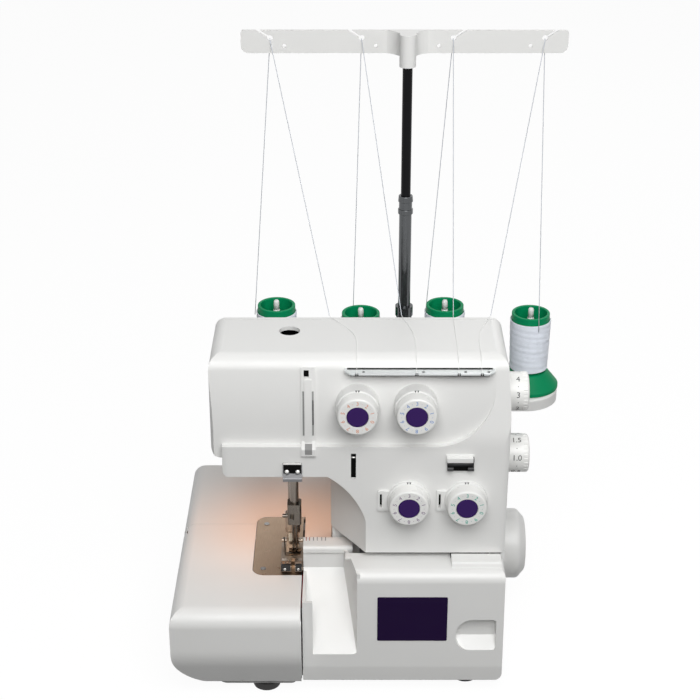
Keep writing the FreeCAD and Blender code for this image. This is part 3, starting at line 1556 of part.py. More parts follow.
def rounded_route(points):
    """Straight runs joined by tangent arcs; each inner point is (place, radius)."""
    edges = []
    at = points[0][0]
    for i in range(1, len(points) - 1):
        here, radius = points[i]
        back = (points[i - 1][0] - here).normalize()
        ahead = (points[i + 1][0] - here).normalize()
        half = back.getAngle(ahead) / 2
        if half > straight_half:
            continue
        reach = radius / math.tan(half)
        middle = here + (back + ahead).normalize() * (radius / math.sin(half) - radius)
        edges.append(Part.makeLine(at, here + back * reach))
        edges.append(Part.Arc(here + back * reach, middle, here + ahead * reach).toShape())
        at = here + ahead * reach
    edges.append(Part.makeLine(at, points[-1][0]))
    return edges


def thread_points(index):
    """The stations of one thread: spool, bar eyelet, rear edge of the top, front of the top."""
    x = pin_x[index]
    y = pin_y[index]
    lift = thread_diameter / 2 + thread_clear
    leave = pack_head_radius + winding_wire + lift + 0.6
    bar_y = (bar_front + bar_rear) / 2
    saddle = eyelet_z - eyelet_radius + lift + 0.5
    out = bar_thickness / 2 + lift
    edge_y = body_depth + seam + back_thickness + lift
    top = body_top + lift
    return [(V(x + thread_side[index] * leave, y + 2, pack_head - 2), 0), (V(x, bar_y + out, saddle), 0.9),
            (V(x, bar_y - out, saddle), 0.9), (V(thread_edge_x[index], edge_y, top), 2.0),
            (V(guide_notch_x[index], top_round_y + 30, top), 30.0),
            (V(guide_notch_x[index], top_round_y, top), 0)]


def sewing_thread(index):
    edges = rounded_route(thread_points(index))
    lift = thread_diameter / 2 + thread_clear
    x = guide_notch_x[index]
    r = body_top_round + lift
    centre_z = body_top - body_top_round

    def over(angle):
        return V(x, top_round_y - r * math.sin(angle), centre_z + r * math.cos(angle))
    end = math.acos((guide_z + guide_thickness + lift - centre_z) / r)
    edges.append(Part.Arc(over(0), over(end / 2), over(end)).toShape())
    route = Part.Wire(edges)
    return wire_tube(route, thread_diameter)


def sewing_threads():
    return Part.makeCompound([sewing_thread(i) for i in range(len(pin_x))])


SINGLE_PIECES = (rubber_feet, base_plate, main_frame, front_casing, rear_casing, bed_cover, cloth_plate,
                 cloth_plate_hinge_pin, looper_cover, looper_cover_hinge_rod, casing_screws, take_up_cover,
                 take_up_lever, thread_guide_plate, tension_thread_guide, needle_thread_guide, handwheel,
                 main_shaft,
                 shaft_bearings, handwheel_pulley, drive_belt, motor, motor_pulley, tension_caps,
                 tension_discs,
                 stitch_length_dial, differential_dial, needle_bar, needle_clamp, needles, presser_bar,
                 presser_foot,
                 presser_spring, pressure_screw, presser_lifter, needle_plate, feed_dogs, upper_looper,
                 lower_looper,
                 upper_knife, lower_knife, knife_release_lever, sewing_lamp, power_inlet, power_switch,
                 spool_stand,
                 spool_pins, pole_lower, pole_middle, pole_upper, thread_guide_bar, spool_cores,
                 spool_packs,
                 spool_windings, sewing_threads)


def build():
    pieces = {make.__name__: make() for make in SINGLE_PIECES}
    for i in range(len(dial_x)):
        pieces["tension_dial_%d" % (i + 1)] = tension_dial(i)
    return pieces


def origin(pieces):
    """Bottom centre of the whole machine, in modelling coordinates."""
    box = FreeCAD.BoundBox()
    for shape in pieces.values():
        box.add(shape.optimalBoundingBox(False, False))
    return V((box.XMin + box.XMax) / 2, (box.YMin + box.YMax) / 2, box.ZMin)


def main():
    os.makedirs("parts", exist_ok=True)
    pieces = build()
    shift = origin(pieces) * -1
    for name, shape in pieces.items():
        shape.translate(shift)
        shape.exportStep("parts/%s.step" % name)
    print("pieces", len(pieces), "origin", [round(v, 3) for v in shift * -1])
    print("least gap between turns of the windings", round(least_winding_gap(), 3))


if __name__ == "__main__":
    main()
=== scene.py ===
"""Looks of a four-thread overlock machine: finishes, threads, dial numbers and a small studio."""

import json
import math

import bmesh
import bpy
from mathutils import Euler, Matrix, Vector


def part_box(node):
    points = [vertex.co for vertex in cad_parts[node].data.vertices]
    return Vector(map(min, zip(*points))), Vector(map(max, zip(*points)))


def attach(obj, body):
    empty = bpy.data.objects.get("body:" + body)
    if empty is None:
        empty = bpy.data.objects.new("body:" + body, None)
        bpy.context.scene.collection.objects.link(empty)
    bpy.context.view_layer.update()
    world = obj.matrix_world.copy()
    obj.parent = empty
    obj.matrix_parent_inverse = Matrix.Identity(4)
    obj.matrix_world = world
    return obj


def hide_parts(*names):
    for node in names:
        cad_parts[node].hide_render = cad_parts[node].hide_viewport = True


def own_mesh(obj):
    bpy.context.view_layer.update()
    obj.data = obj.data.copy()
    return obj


bl_info = {
    "name": "Overlock machine",
    "version": (1, 0, 0),
    "blender": (4, 5, 0),
    "location": "3D View > Sidebar > Overlock",
    "description": "Finishes, threads, dial numbers and studio of an overlock machine",
    "category": "Object",
}

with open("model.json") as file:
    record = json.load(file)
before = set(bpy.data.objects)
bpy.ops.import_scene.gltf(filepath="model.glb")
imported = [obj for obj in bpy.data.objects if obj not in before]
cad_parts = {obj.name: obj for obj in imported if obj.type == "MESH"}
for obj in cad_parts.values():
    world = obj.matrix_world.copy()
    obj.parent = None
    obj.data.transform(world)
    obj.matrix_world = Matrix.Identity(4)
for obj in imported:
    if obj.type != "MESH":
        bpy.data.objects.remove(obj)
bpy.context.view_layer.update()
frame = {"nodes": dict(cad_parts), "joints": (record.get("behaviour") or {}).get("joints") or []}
MM = 0.001
RAY_START = 50 * MM
GRAIN = 0.35 * MM
ALONG, ACROSS = 120.0, 5000.0
INK_DEPTH = 0.12 * MM
FONT_PER_FIGURE = 1.42
JOINTS = {joint["name"]: joint for joint in frame["joints"]}

# Routes of the four threads, in metres: from the spool to the bar, down to the rear edge of the top, and
# over the top to the front guide.
ROUTES = (
    ((-0.0959, 0.0875, 0.2440), (-0.0782, 0.0717, 0.4770), (-0.0779, 0.0714, 0.4806),
     (-0.0779, 0.0694, 0.4808), (-0.0779, 0.0676, 0.4806), (-0.0771, 0.0665, 0.4770),
     (-0.0338, 0.0077, 0.2817), (-0.0333, 0.0068, 0.2795), (-0.0320, 0.0040, 0.2790),
     (-0.0123, -0.0243, 0.2783), (-0.0123, -0.0543, 0.2783), (-0.0123, -0.0622, 0.2783),
     (-0.0123, -0.0664, 0.2707), (-0.0123, -0.0748, 0.2702), (-0.0123, -0.0758, 0.2684)),
    ((-0.0148, 0.0858, 0.2440), (-0.0088, 0.0714, 0.4770), (-0.0085, 0.0714, 0.4806),
     (-0.0085, 0.0694, 0.4808), (-0.0085, 0.0676, 0.4806), (-0.0079, 0.0665, 0.4770),
     (0.0222, 0.0077, 0.2817), (0.0227, 0.0068, 0.2795), (0.0235, 0.0040, 0.2790),
     (0.0317, -0.0243, 0.2783), (0.0317, -0.0543, 0.2783), (0.0317, -0.0622, 0.2783),
     (0.0317, -0.0664, 0.2707), (0.0317, -0.0748, 0.2702), (0.0317, -0.0758, 0.2684)),
    ((0.0457, 0.0948, 0.2440), (0.0606, 0.0717, 0.4770), (0.0609, 0.0714, 0.4806),
     (0.0609, 0.0694, 0.4808), (0.0609, 0.0676, 0.4806), (0.0609, 0.0665, 0.4770),
     (0.0627, 0.0077, 0.2817), (0.0627, 0.0068, 0.2795), (0.0627, 0.0040, 0.2790),
     (0.0627, -0.0243, 0.2783), (0.0627, -0.0543, 0.2783), (0.0627, -0.0622, 0.2783),
     (0.0627, -0.0664, 0.2707), (0.0627, -0.0748, 0.2702), (0.0627, -0.0758, 0.2684)),
    ((0.1353, 0.0520, 0.2440), (0.1306, 0.0714, 0.4770), (0.1303, 0.0714, 0.4806),
     (0.1303, 0.0694, 0.4808), (0.1303, 0.0676, 0.4806), (0.1296, 0.0665, 0.4770),
     (0.0922, 0.0077, 0.2817), (0.0917, 0.0068, 0.2795), (0.0906, 0.0040, 0.2790),
     (0.0797, -0.0243, 0.2783), (0.0797, -0.0543, 0.2783), (0.0797, -0.0622, 0.2783),
     (0.0797, -0.0664, 0.2707), (0.0797, -0.0748, 0.2702), (0.0797, -0.0758, 0.2684)),
)
# Places in a route of its points on the bar and on the rear edge of the top.
AT_BAR, AT_EDGE = 3, 7

# Lamps of the studio: name, property with its power, place, target and size.
LAMPS = (
    ("front_lamp", "front", (0.10, -0.95, 1.12), (0.0, -0.05, 0.2), 0.9),
    ("top_lamp", "top", (0.2, 0.1, 1.6), (0.0, 0.0, 0.22), 1.2),
    ("rear_lamp", "rear", (0.6, 1.4, 1.2), (0.0, 0.05, 0.2), 0.8),
    ("side_lamp", "side", (1.3, -0.6, 0.8), (0.05, 0.0, 0.2), 0.6),
)


def colour_prop(name, text, default):
    return bpy.props.FloatVectorProperty(name=name, description=text, default=default, subtype="COLOR",
                                         size=3, min=0, max=1)


def length_prop(name, text, default):
    return bpy.props.FloatProperty(name=name, description=text, default=default, unit="LENGTH", precision=5)


def power_prop(name, text, default):
    return bpy.props.FloatProperty(name=name, description=text, default=default, unit="POWER")


class CasingLooks(bpy.types.PropertyGroup):
    """Colours of the machine's own pieces."""

    casing: colour_prop("Casing", "White of the moulded shells", (0.80, 0.80, 0.785))
    dial: colour_prop("Dials", "White of the dials", (0.84, 0.84, 0.82))
    violet: colour_prop("Violet", "Discs in the tension dials", (0.030, 0.007, 0.092))
    plaque: colour_prop("Plaque", "Plain plaque on the looper cover", (0.010, 0.002, 0.028))
    spool: colour_prop("Spool", "Green of the spool cores", (0.001, 0.25, 0.098))
    thread: colour_prop("Thread", "Bluish white of the sewing thread", (0.86, 0.90, 0.97))
    lever: colour_prop("Lever", "Red of the knife release lever", (0.55, 0.012, 0.02))
    lamp: colour_prop("Lamp", "Warm light of the sewing lamp", (1.0, 0.46, 0.18))
    grain: length_prop("Grain", "Size of the moulded surface grain", GRAIN)


class NumberLooks(bpy.types.PropertyGroup):
    """Numbers and marks printed on the machine."""

    first: colour_prop("Dial 1", "Ink of the first tension dial", (0.75, 0.30, 0.16))
    second: colour_prop("Dial 2", "Ink of the second tension dial", (0.16, 0.30, 0.62))
    third: colour_prop("Dial 3", "Ink of the third tension dial", (0.24, 0.17, 0.27))
    fourth: colour_prop("Dial 4", "Ink of the fourth tension dial", (0.03, 0.40, 0.30))
    height: length_prop("Height", "Height of a tension dial's figures", 3.0 * MM)
    ring: length_prop("Ring", "Radius of the ring of figures", 11.2 * MM)


class ThreadLooks(bpy.types.PropertyGroup):
    """Sewing thread on the spools and above the machine."""

    diameter: length_prop("Thread", "Thickness of a sewing thread", 0.6 * MM)
    strand: length_prop("Strand", "Thickness of the wound strand", 0.9 * MM)
    wave: length_prop("Wave", "Rise and fall of the wound layers", 0.11 * MM)
    over_rim: length_prop("Over the rim", "Height of the thread in front of a spool's rim", 3.4 * MM)
    turns: bpy.props.IntProperty(name="Turns", description="Turns of thread that show on a spool",
                                 default=52, min=22)


class StudioLight(bpy.types.PropertyGroup):
    """Lamps and background."""

    front: power_prop("Front", "Power of the large lamp above the front", 14.8)
    top: power_prop("Top", "Power of the lamp overhead", 1.8)
    side: power_prop("Side", "Power of the lamp on the right", 1.8)
    rear: power_prop("Rear", "Power of the lamp behind", 3.0)
    sewing: power_prop("Sewing lamp", "Power of the lamp under the arm", 0.18)
    sky: bpy.props.FloatProperty(name="Sky", description="Strength of the even light around", default=0.21)
    glow: bpy.props.FloatProperty(name="Glow", description="Brightness of the sewing lamp's lens",
                                  default=6.0)


# Making meshes

def in_scene(name, data):
    """A new object in the scene."""
    made = bpy.data.objects.new(name, data)
    bpy.context.scene.collection.objects.link(made)
    return made


def piece_from(name, mesh, material, body):
    """A new piece that rides on a body and takes the material it is given."""
    made = in_scene(name, mesh)
    mesh.materials.append(material)
    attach(made, body)
    return made


def mesh_of(name, points, faces, smooth=True):
    mesh = bpy.data.meshes.new(name)
    mesh.from_pydata(points, [], faces)
    mesh.validate()
    if smooth:
        mesh.shade_smooth()
    return mesh


def mesh_from_shape(name, shape):
    mesh = bpy.data.meshes.new(name)
    shape.to_mesh(mesh)
    shape.free()
    return mesh


def skin(count, sides):
    """Faces over a row of rings, each of so many points, with both ends closed."""
    faces = []
    for i in range(count - 1):
        for k in range(sides):
            a = i * sides + k
            b = i * sides + (k + 1) % sides
            faces.append((a, b, b + sides, a + sides))
    faces.append(tuple(range(sides - 1, -1, -1)))
    faces.append(tuple((count - 1) * sides + k for k in range(sides)))
    return faces


def tube(path, radius, sides):
    """Points and faces of a closed tube that follows a path."""
    points = []
    side = None
    count = len(path)
    for i, here in enumerate(path):
        ahead = (path[min(i + 1, count - 1)] - path[max(i - 1, 0)]).normalized()
        if side is None:
            side = ahead.orthogonal()
        side = (side - ahead * side.dot(ahead)).normalized()
        up = ahead.cross(side)
        for k in range(sides):
            turn = 2 * math.pi * k / sides
            points.append(here + (side * math.cos(turn) + up * math.sin(turn)) * radius)
    return points, skin(count, sides)


def lathe(profile, centre, segments):
    """Points and faces of a closed turned form; profile is (radius, height) pairs."""
    points = []
    faces = []
    rows = len(profile)
    for k in range(segments):
        turn = 2 * math.pi * k / segments
        for radius, height in profile:
            points.append(centre + Vector((radius * math.cos(turn), radius * math.sin(turn), height)))
    for k in range(segments):
        for j in range(rows):
            a = k * rows + j
            b = k * rows + (j + 1) % rows
            c = ((k + 1) % segments) * rows
            faces.append((a, c + j, c + (j + 1) % rows, b))
    return points, faces


def plate_mesh(name, outline, thickness, edge):
    """A flat plate in X and Z with softened front edges, its face at Y = 0 and its back at thickness."""
    shape = bmesh.new()
    ring = [shape.verts.new((x, thickness, z)) for x, z in outline]
    face = shape.faces.new(ring)
    raised = bmesh.ops.extrude_face_region(shape, geom=[face])
    front = [v for v in raised["geom"] if isinstance(v, bmesh.types.BMVert)]
    bmesh.ops.translate(shape, verts=front, vec=(0, -thickness, 0))
    rim = [e for e in shape.edges if all(abs(v.co.y) < 1e-7 for v in e.verts)]
    if edge:
        bmesh.ops.bevel(shape, geom=rim, offset=edge, segments=3, affect="EDGES", profile=0.5)
    bmesh.ops.recalc_face_normals(shape, faces=shape.faces)
    return mesh_from_shape(name, shape)


def block_mesh(low, high, edge):
    """A block between two corners, given in millimetres, with softened edges."""
    shape = bmesh.new()
    bmesh.ops.create_cube(shape, size=1.0)
    for v in shape.verts:
        v.co = [(low[k] if v.co[k] < 0 else high[k]) * MM for k in range(3)]
    bmesh.ops.bevel(shape, geom=shape.edges, offset=edge * MM, segments=2, affect="EDGES", profile=0.5)
    return mesh_from_shape("block", shape)


def strip_mesh(name, left, right, rows, thickness):
    """A thin upright strip between two X whose front follows rows of (Y, Z), all in millimetres."""
    points = []
    for y, z in rows:
        corners = ((left, y, z), (right, y, z), (right, y + thickness, z), (left, y + thickness, z))
        points += [[c * MM for c in corner] for corner in corners]
    return mesh_of(name, points, skin(len(rows), sides=4), smooth=False)


def turned_mesh(name, profile, segments, place, axis):
    """A small turned form, in millimetres, turned a quarter about an axis and set at a place."""
    mesh = mesh_of(name, *lathe([(r * MM, z * MM) for r, z in profile], Vector(), segments))
    mesh.transform(Matrix.Translation([c * MM for c in place]) @ Matrix.Rotation(math.pi / 2, 4, axis))
    return mesh


def rounded_outline(left, right, low, high, radius, steps=6):
    """Corners of a rectangle with round corners, in X and Z."""
    outline = []
    for x, z, start in ((right - radius, high - radius, 0), (left + radius, high - radius, 1),
                        (left + radius, low + radius, 2), (right - radius, low + radius, 3)):
        for k in range(steps + 1):
            turn = math.pi / 2 * (start + k / steps)
            outline.append((x + radius * math.cos(turn), z + radius * math.sin(turn)))
    return outline


def mesh_from_curve(data):
    """The mesh of a curve or text, whose own data is then removed."""
    holder = in_scene(data.name, data)
    bpy.context.view_layer.update()
    seen = holder.evaluated_get(bpy.context.evaluated_depsgraph_get())
    mesh = bpy.data.meshes.new_from_object(seen)
    bpy.data.objects.remove(holder)
    bpy.data.curves.remove(data)
    return mesh


def words_mesh(name, words, height, depth):
    """Upright letters in X and Z that face the front, centred on their own middle."""
    data = bpy.data.curves.new(name, "FONT")
    data.body = words
    data.align_x = "CENTER"
    data.align_y = "CENTER"
    data.size = height * FONT_PER_FIGURE
    data.extrude = depth / 2
    data.resolution_u = 3
    mesh = mesh_from_curve(data)
    mesh.transform(Matrix.Rotation(math.pi / 2, 4, "X"))
    return mesh


def joined(name, meshes):
    """One mesh made of several."""
    shape = bmesh.new()
    for mesh in meshes:
        shape.from_mesh(mesh)
        bpy.data.meshes.remove(mesh)
    return mesh_from_shape(name, shape)


def piece_of(name, meshes, material, body):
    """A new piece made of several meshes."""
    return piece_from(name, joined(name, meshes), material, body)


def met_from(node, start, direction):
    """Where a ray first meets a node."""
    hit, place, _, _ = frame["nodes"][node].ray_cast(Vector(start), Vector(direction))
    if not hit:
        raise RuntimeError("a ray from %s misses %s" % (start, node))
    return place


def front_of(node, x, z):
    """Y of a node's surface as met from the front at X, Z."""
    return met_from(node, (x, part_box(node)[0].y - RAY_START, z), (0, 1, 0)).y


def top_of(node, x, y):
    """Z of a node's surface as met from above at X, Y."""
    return met_from(node, (x, y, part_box(node)[1].z + RAY_START), (0, 0, -1)).z


def even_steps(low, high, count):
    return [low + (high - low) * k / count for k in range(count + 1)]


def front_rows(node, x, heights, deep):
    """Rows of (Y, Z) along a node's front at X, moved back by deep, in millimetres."""
    return [(front_of(node, x * MM, z * MM) / MM + deep, z) for z in heights]


# Shader node groups

def group_start(name, inputs, outputs):
    group = bpy.data.node_groups.new(name, "ShaderNodeTree")
    for label, kind, value in inputs:
        socket = group.interface.new_socket(label, in_out="INPUT", socket_type=kind)
        socket.default_value = value
    for label, kind in outputs:
        group.interface.new_socket(label, in_out="OUTPUT", socket_type=kind)
    return group, group.nodes.new("NodeGroupInput"), group.nodes.new("NodeGroupOutput")


def feed(group, socket, value):
    """Sets a socket to a number, or links it to another node."""
    if isinstance(value, (int, float)):
        socket.default_value = value
    else:
        group.links.new(value, socket)


def noise_in(group, place, scale, detail):
    noise = group.nodes.new("ShaderNodeTexNoise")
    for label, value in (("Vector", place), ("Scale", scale), ("Detail", detail)):
        feed(group, noise.inputs[label], value)
    return noise.outputs["Fac"]


def spread_in(group, value, low, high):
    """value, which lies about a half, spread between low and high."""
    node = group.nodes.new("ShaderNodeMapRange")
    sockets = {"Value": value, "From Min": 0.3, "From Max": 0.7, "To Min": low, "To Max": high}
    for label, source in sockets.items():
        feed(group, node.inputs[label], source)
    return node.outputs["Result"]


def maths(group, kind, a, b):
    node = group.nodes.new("ShaderNodeMath")
    node.operation = kind
    for socket, value in zip(node.inputs, (a, b)):
        feed(group, socket, value)
    return node.outputs[0]


def tinted(group, colour, factor):
    """colour made lighter or darker by factor."""
    node = group.nodes.new("ShaderNodeVectorMath")
    node.operation = "SCALE"
    group.links.new(colour, node.inputs[0])
    group.links.new(factor, node.inputs["Scale"])
    return node.outputs[0]


SURFACE_INPUTS = (("Colour", "NodeSocketColor", (0.8, 0.8, 0.8, 1)), ("Tone Change", "NodeSocketFloat", 0.1),
                  ("Roughness", "NodeSocketFloat", 0.3), ("Gloss Change", "NodeSocketFloat", 0.1))
SURFACE_OUTPUTS = (("Colour", "NodeSocketColor"), ("Roughness", "NodeSocketFloat"),
                   ("Height", "NodeSocketFloat"))


def tone_and_gloss(group, start, end, tone, gloss):
    """Darkens the colour by one noise and varies the roughness by another."""
    dark = maths(group, "SUBTRACT", 1.0, start.outputs["Tone Change"])
    colour = tinted(group, start.outputs["Colour"], spread_in(group, tone, dark, 1.0))
    group.links.new(colour, end.inputs["Colour"])
    low = maths(group, "SUBTRACT", start.outputs["Roughness"], start.outputs["Gloss Change"])
    high = maths(group, "ADD", start.outputs["Roughness"], start.outputs["Gloss Change"])
    group.links.new(spread_in(group, gloss, low, high), end.inputs["Roughness"])


def moulded_group():
    """Fine moulded grain with slow changes of tone and gloss."""
    inputs = (*SURFACE_INPUTS, ("Grain Scale", "NodeSocketFloat", 1 / GRAIN))
    group, start, end = group_start("moulded_surface", inputs, SURFACE_OUTPUTS)
    place = group.nodes.new("ShaderNodeTexCoord").outputs["Object"]
    slow = noise_in(group, place, scale=14.0, detail=3.0)
    smear = noise_in(group, place, scale=60.0, detail=5.0)
    fine = noise_in(group, place, scale=start.outputs["Grain Scale"], detail=2.0)
    tone_and_gloss(group, start, end, slow, smear)
    group.links.new(fine, end.inputs["Height"])
    return group


def brushed_group():
    """Fine lines along one direction, as on ground or drawn metal."""
    inputs = (*SURFACE_INPUTS, ("Line Scale", "NodeSocketVector", (ALONG, ACROSS, ACROSS)))
    group, start, end = group_start("brushed_surface", inputs, SURFACE_OUTPUTS)
    place = group.nodes.new("ShaderNodeTexCoord").outputs["Object"]
    stretched = group.nodes.new("ShaderNodeVectorMath")
    stretched.operation = "MULTIPLY"
    group.links.new(place, stretched.inputs[0])
    group.links.new(start.outputs["Line Scale"], stretched.inputs[1])
    lines = noise_in(group, stretched.outputs[0], scale=1.0, detail=3.0)
    cloud = noise_in(group, place, scale=90.0, detail=4.0)
    tone_and_gloss(group, start, end, lines, cloud)
    group.links.new(lines, end.inputs["Height"])
    return group


def light_below_group():
    """A colour below one height and black above it."""
    group, start, end = group_start(
        "light_below", (("Colour", "NodeSocketColor", (1, 1, 1, 1)), ("Level", "NodeSocketFloat", 0.1)),
        (("Colour", "NodeSocketColor"),))
    place = group.nodes.new("ShaderNodeTexCoord").outputs["Object"]
    split = group.nodes.new("ShaderNodeSeparateXYZ")
    group.links.new(place, split.inputs[0])
    below = maths(group, "LESS_THAN", split.outputs["Z"], start.outputs["Level"])
    group.links.new(tinted(group, start.outputs["Colour"], below), end.inputs["Colour"])
    return group


def group_named(name, make):
    return bpy.data.node_groups.get(name) or make()


def dressed(name, group, values, bump, plain):
    """A material whose colour, gloss and bump come from a group, with plain values on its shader."""
    material = bpy.data.materials.new(name)
    material.use_nodes = True
    tree = material.node_tree
    shader = tree.nodes["Principled BSDF"]
    source = tree.nodes.new("ShaderNodeGroup")
    source.node_tree = group
    for label, value in values.items():
        source.inputs[label].default_value = value
    tree.links.new(source.outputs["Colour"], shader.inputs["Base Color"])
    tree.links.new(source.outputs["Roughness"], shader.inputs["Roughness"])
    relief = tree.nodes.new("ShaderNodeBump")
    relief.inputs["Strength"].default_value = bump
    relief.inputs["Distance"].default_value = 0.1 * MM
    tree.links.new(source.outputs["Height"], relief.inputs["Height"])
    tree.links.new(relief.outputs["Normal"], shader.inputs["Normal"])
    for label, value in plain.items():
        shader.inputs[label].default_value = value
    return material


def moulded(name, colour, roughness, bump=0.10, tone=0.03, grain=GRAIN, specular=0.5, metallic=0.0,
            sheen=0.0):
    """Moulded plastic, rubber, paint, cast metal or thread."""
    values = {"Colour": (*colour, 1), "Tone Change": tone, "Roughness": roughness, "Gloss Change": 0.06,
              "Grain Scale": 1 / grain}
    plain = {"Specular IOR Level": specular, "Metallic": metallic, "Sheen Weight": sheen}
    return dressed(name, group_named("moulded_surface", moulded_group), values, bump, plain)


def printed(name, colour, tone=0.2):
    """Ink on a moulded face."""
    return moulded(name, colour, 0.5, bump=0.05, tone=tone)


def brushed(name, colour, roughness, along, bump=0.12):
    """Bare metal brushed along X, Y or Z."""
    scale = [ALONG if axis == along else ACROSS for axis in "XYZ"]
    values = {"Colour": (*colour, 1), "Tone Change": 0.2, "Roughness": roughness, "Gloss Change": 0.08,
              "Line Scale": scale}
    return dressed(name, group_named("brushed_surface", brushed_group), values, bump, {"Metallic": 1.0})


def finish(material, *nodes):
    """Puts a material on the nodes."""
    for node in nodes:
        slots = frame["nodes"][node].material_slots
        for slot in slots:
            slot.material = material
        if not slots:
            frame["nodes"][node].data.materials.append(material)


# Operators

class OVERLOCK_OT_stage(bpy.types.Operator):
    """Camera, lamps, floor and background"""

    bl_idname = "overlock.stage"
    bl_label = "Studio"

    def execute(self, context):
        light = context.scene.overlock_light
        context.scene.view_settings.view_transform = "Standard"
        self.camera(context)
        self.floor()
        self.sky(context, light.sky)
        for name, power, place, target, size in LAMPS:
            self.lamp(name, place, target, size, getattr(light, power))
        low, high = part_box("sewing_lamp")
        right, back = 12 * MM, 46 * MM
        self.pool("sewing_light", ((low.x + high.x) / 2 + right, high.y + back, low.z), light.sewing)
        return {"FINISHED"}

    def camera(self, context):
        data = bpy.data.cameras.new("photo_camera")
        data.lens = 85.0
        data.sensor_width = 36.0
        data.clip_start = 0.05
        made = in_scene("photo_camera", data)
        made.location = (-0.0173, -1.1606, 0.8066)
        made.rotation_euler = Euler((math.radians(64.5), 0, 0))
        context.scene.camera = made

    def where_seen(self, tree, around, seen):
        """One shader for light, and another for rays from the camera, a mirror or glass."""
        path = tree.nodes.new("ShaderNodeLightPath")
        share = path.outputs["Is Camera Ray"]
        for label in ("Is Glossy Ray", "Is Transmission Ray"):
            share = maths(tree, "MAXIMUM", share, path.outputs[label])
        mix = tree.nodes.new("ShaderNodeMixShader")
        for socket, source in zip(mix.inputs, (share, around.outputs[0], seen.outputs[0])):
            tree.links.new(source, socket)
        return mix.outputs[0]

    def floor(self):
        half = 8.0
        corners = [(-half, -half, 0), (half, -half, 0), (half, half, 0), (-half, half, 0)]
        mesh = mesh_of("floor", corners, [(0, 1, 2, 3)], smooth=False)
        in_scene("floor", mesh)
        material = bpy.data.materials.new("pale_floor")
        material.use_nodes = True
        tree = material.node_tree
        tree.nodes.clear()
        soft = tree.nodes.new("ShaderNodeBsdfDiffuse")
        soft.inputs["Color"].default_value = (0.07, 0.07, 0.07, 1)
        white = tree.nodes.new("ShaderNodeEmission")
        white.inputs["Strength"].default_value = 0.95
        seen = tree.nodes.new("ShaderNodeAddShader")
        tree.links.new(soft.outputs[0], seen.inputs[0])
        tree.links.new(white.outputs[0], seen.inputs[1])
        out = tree.nodes.new("ShaderNodeOutputMaterial")
        tree.links.new(self.where_seen(tree, soft, seen), out.inputs["Surface"])
        mesh.materials.append(material)

    def sky(self, context, strength):
        world = bpy.data.worlds.new("studio")
        world.use_nodes = True
        tree = world.node_tree
        around = tree.nodes["Background"]
        around.inputs["Strength"].default_value = strength
        white = tree.nodes.new("ShaderNodeBackground")
        for light in (around, white):
            light.inputs["Color"].default_value = (1, 1, 1, 1)
        tree.links.new(self.where_seen(tree, around, white), tree.nodes["World Output"].inputs["Surface"])
        context.scene.world = world

    def lamp(self, name, place, target, size, power):
        data = bpy.data.lights.new(name, "AREA")
        data.size = size
        data.energy = power
        made = in_scene(name, data)
        made.location = place
        made.rotation_euler = (Vector(target) - Vector(place)).to_track_quat("-Z", "Y").to_euler()

    def pool(self, name, place, power):
        """A soft round pool of warm light straight below."""
        data = bpy.data.lights.new(name, "SPOT")
        data.energy = power
        data.color = (1.0, 0.34, 0.06)
        data.spot_size = math.radians(112)
        data.spot_blend = 1.0
        data.shadow_soft_size = 8 * MM
        made = in_scene(name, data)
        made.location = place
        made.visible_glossy = False


class OVERLOCK_OT_threads(bpy.types.Operator):
    """Four threads from the spools over the bar to the front of the top"""

    bl_idname = "overlock.threads"
    bl_label = "Threads"

    def execute(self, context):
        looks = context.scene.overlock_casing
        size = context.scene.overlock_thread.diameter
        # Painted shade and light: the thread in the air has its colour darkened by shade, and the thread
        # laid over the top is a whiter, lit copy of the same thread.
        shade, laid_share = 0.80, 0.6
        free = [c * shade for c in looks.thread]
        twist = moulded("sewing_thread", free, 0.75, bump=0.5, tone=0.2, grain=0.12 * MM)
        laid = moulded("laid_thread", (0.92, 0.92, 0.91), 0.75, bump=0.3, tone=0.1, grain=0.12 * MM)
        for i, route in enumerate(ROUTES, 1):
            rise, fall, over = route[:AT_BAR + 1], route[AT_BAR:AT_EDGE + 1], route[AT_EDGE:]
            up = self.run("thread_%d_rise" % i, rise, size, twist)
            self.slacken(up, rise[0], rise[-1])
            down = self.run("thread_%d_fall" % i, fall, size, twist)
            self.slacken(down, fall[-1], fall[0])
            self.run("thread_%d_top" % i, over, laid_share * size, laid)
        return {"FINISHED"}

    def smooth_line(self, points):
        data = bpy.data.curves.new("route", "CURVE")
        data.dimensions = "3D"
        spline = data.splines.new("NURBS")
        spline.points.add(len(points) - 1)
        for point, place in zip(spline.points, points):
            point.co = (*place, 1)
        spline.order_u = 3
        spline.use_endpoint_u = True
        spline.resolution_u = 12
        mesh = mesh_from_curve(data)
        line = [v.co.copy() for v in mesh.vertices]
        bpy.data.meshes.remove(mesh)
        return line

    def run(self, name, points, size, material):
        line = self.smooth_line(points)
        mesh = mesh_of(name, *tube(line, size / 2, sides=8))
        made = piece_from(name, mesh, material, "root")
        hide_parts("sewing_threads")
        return made

    def slacken(self, made, fixed, moving):
        """Gives the run a mesh of its own."""
        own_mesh(made)


def spool_places():
    """Middle of each spool, from the separate shells of the spool cores' mesh."""
    least_gap = 5 * MM
    points = [v.co for v in frame["nodes"]["spool_cores"].data.vertices]
    xs = sorted(point.x for point in points)
    groups = [[xs[0]]]
    for x in xs[1:]:
        if x - groups[-1][-1] > least_gap:
            groups.append([])
        groups[-1].append(x)
    places = []
    for group in groups:
        left, right = group[0], group[-1]
        ys = [point.y for point in points if left <= point.x <= right]
        places.append(((left + right) / 2, (min(ys) + max(ys)) / 2))
    return places


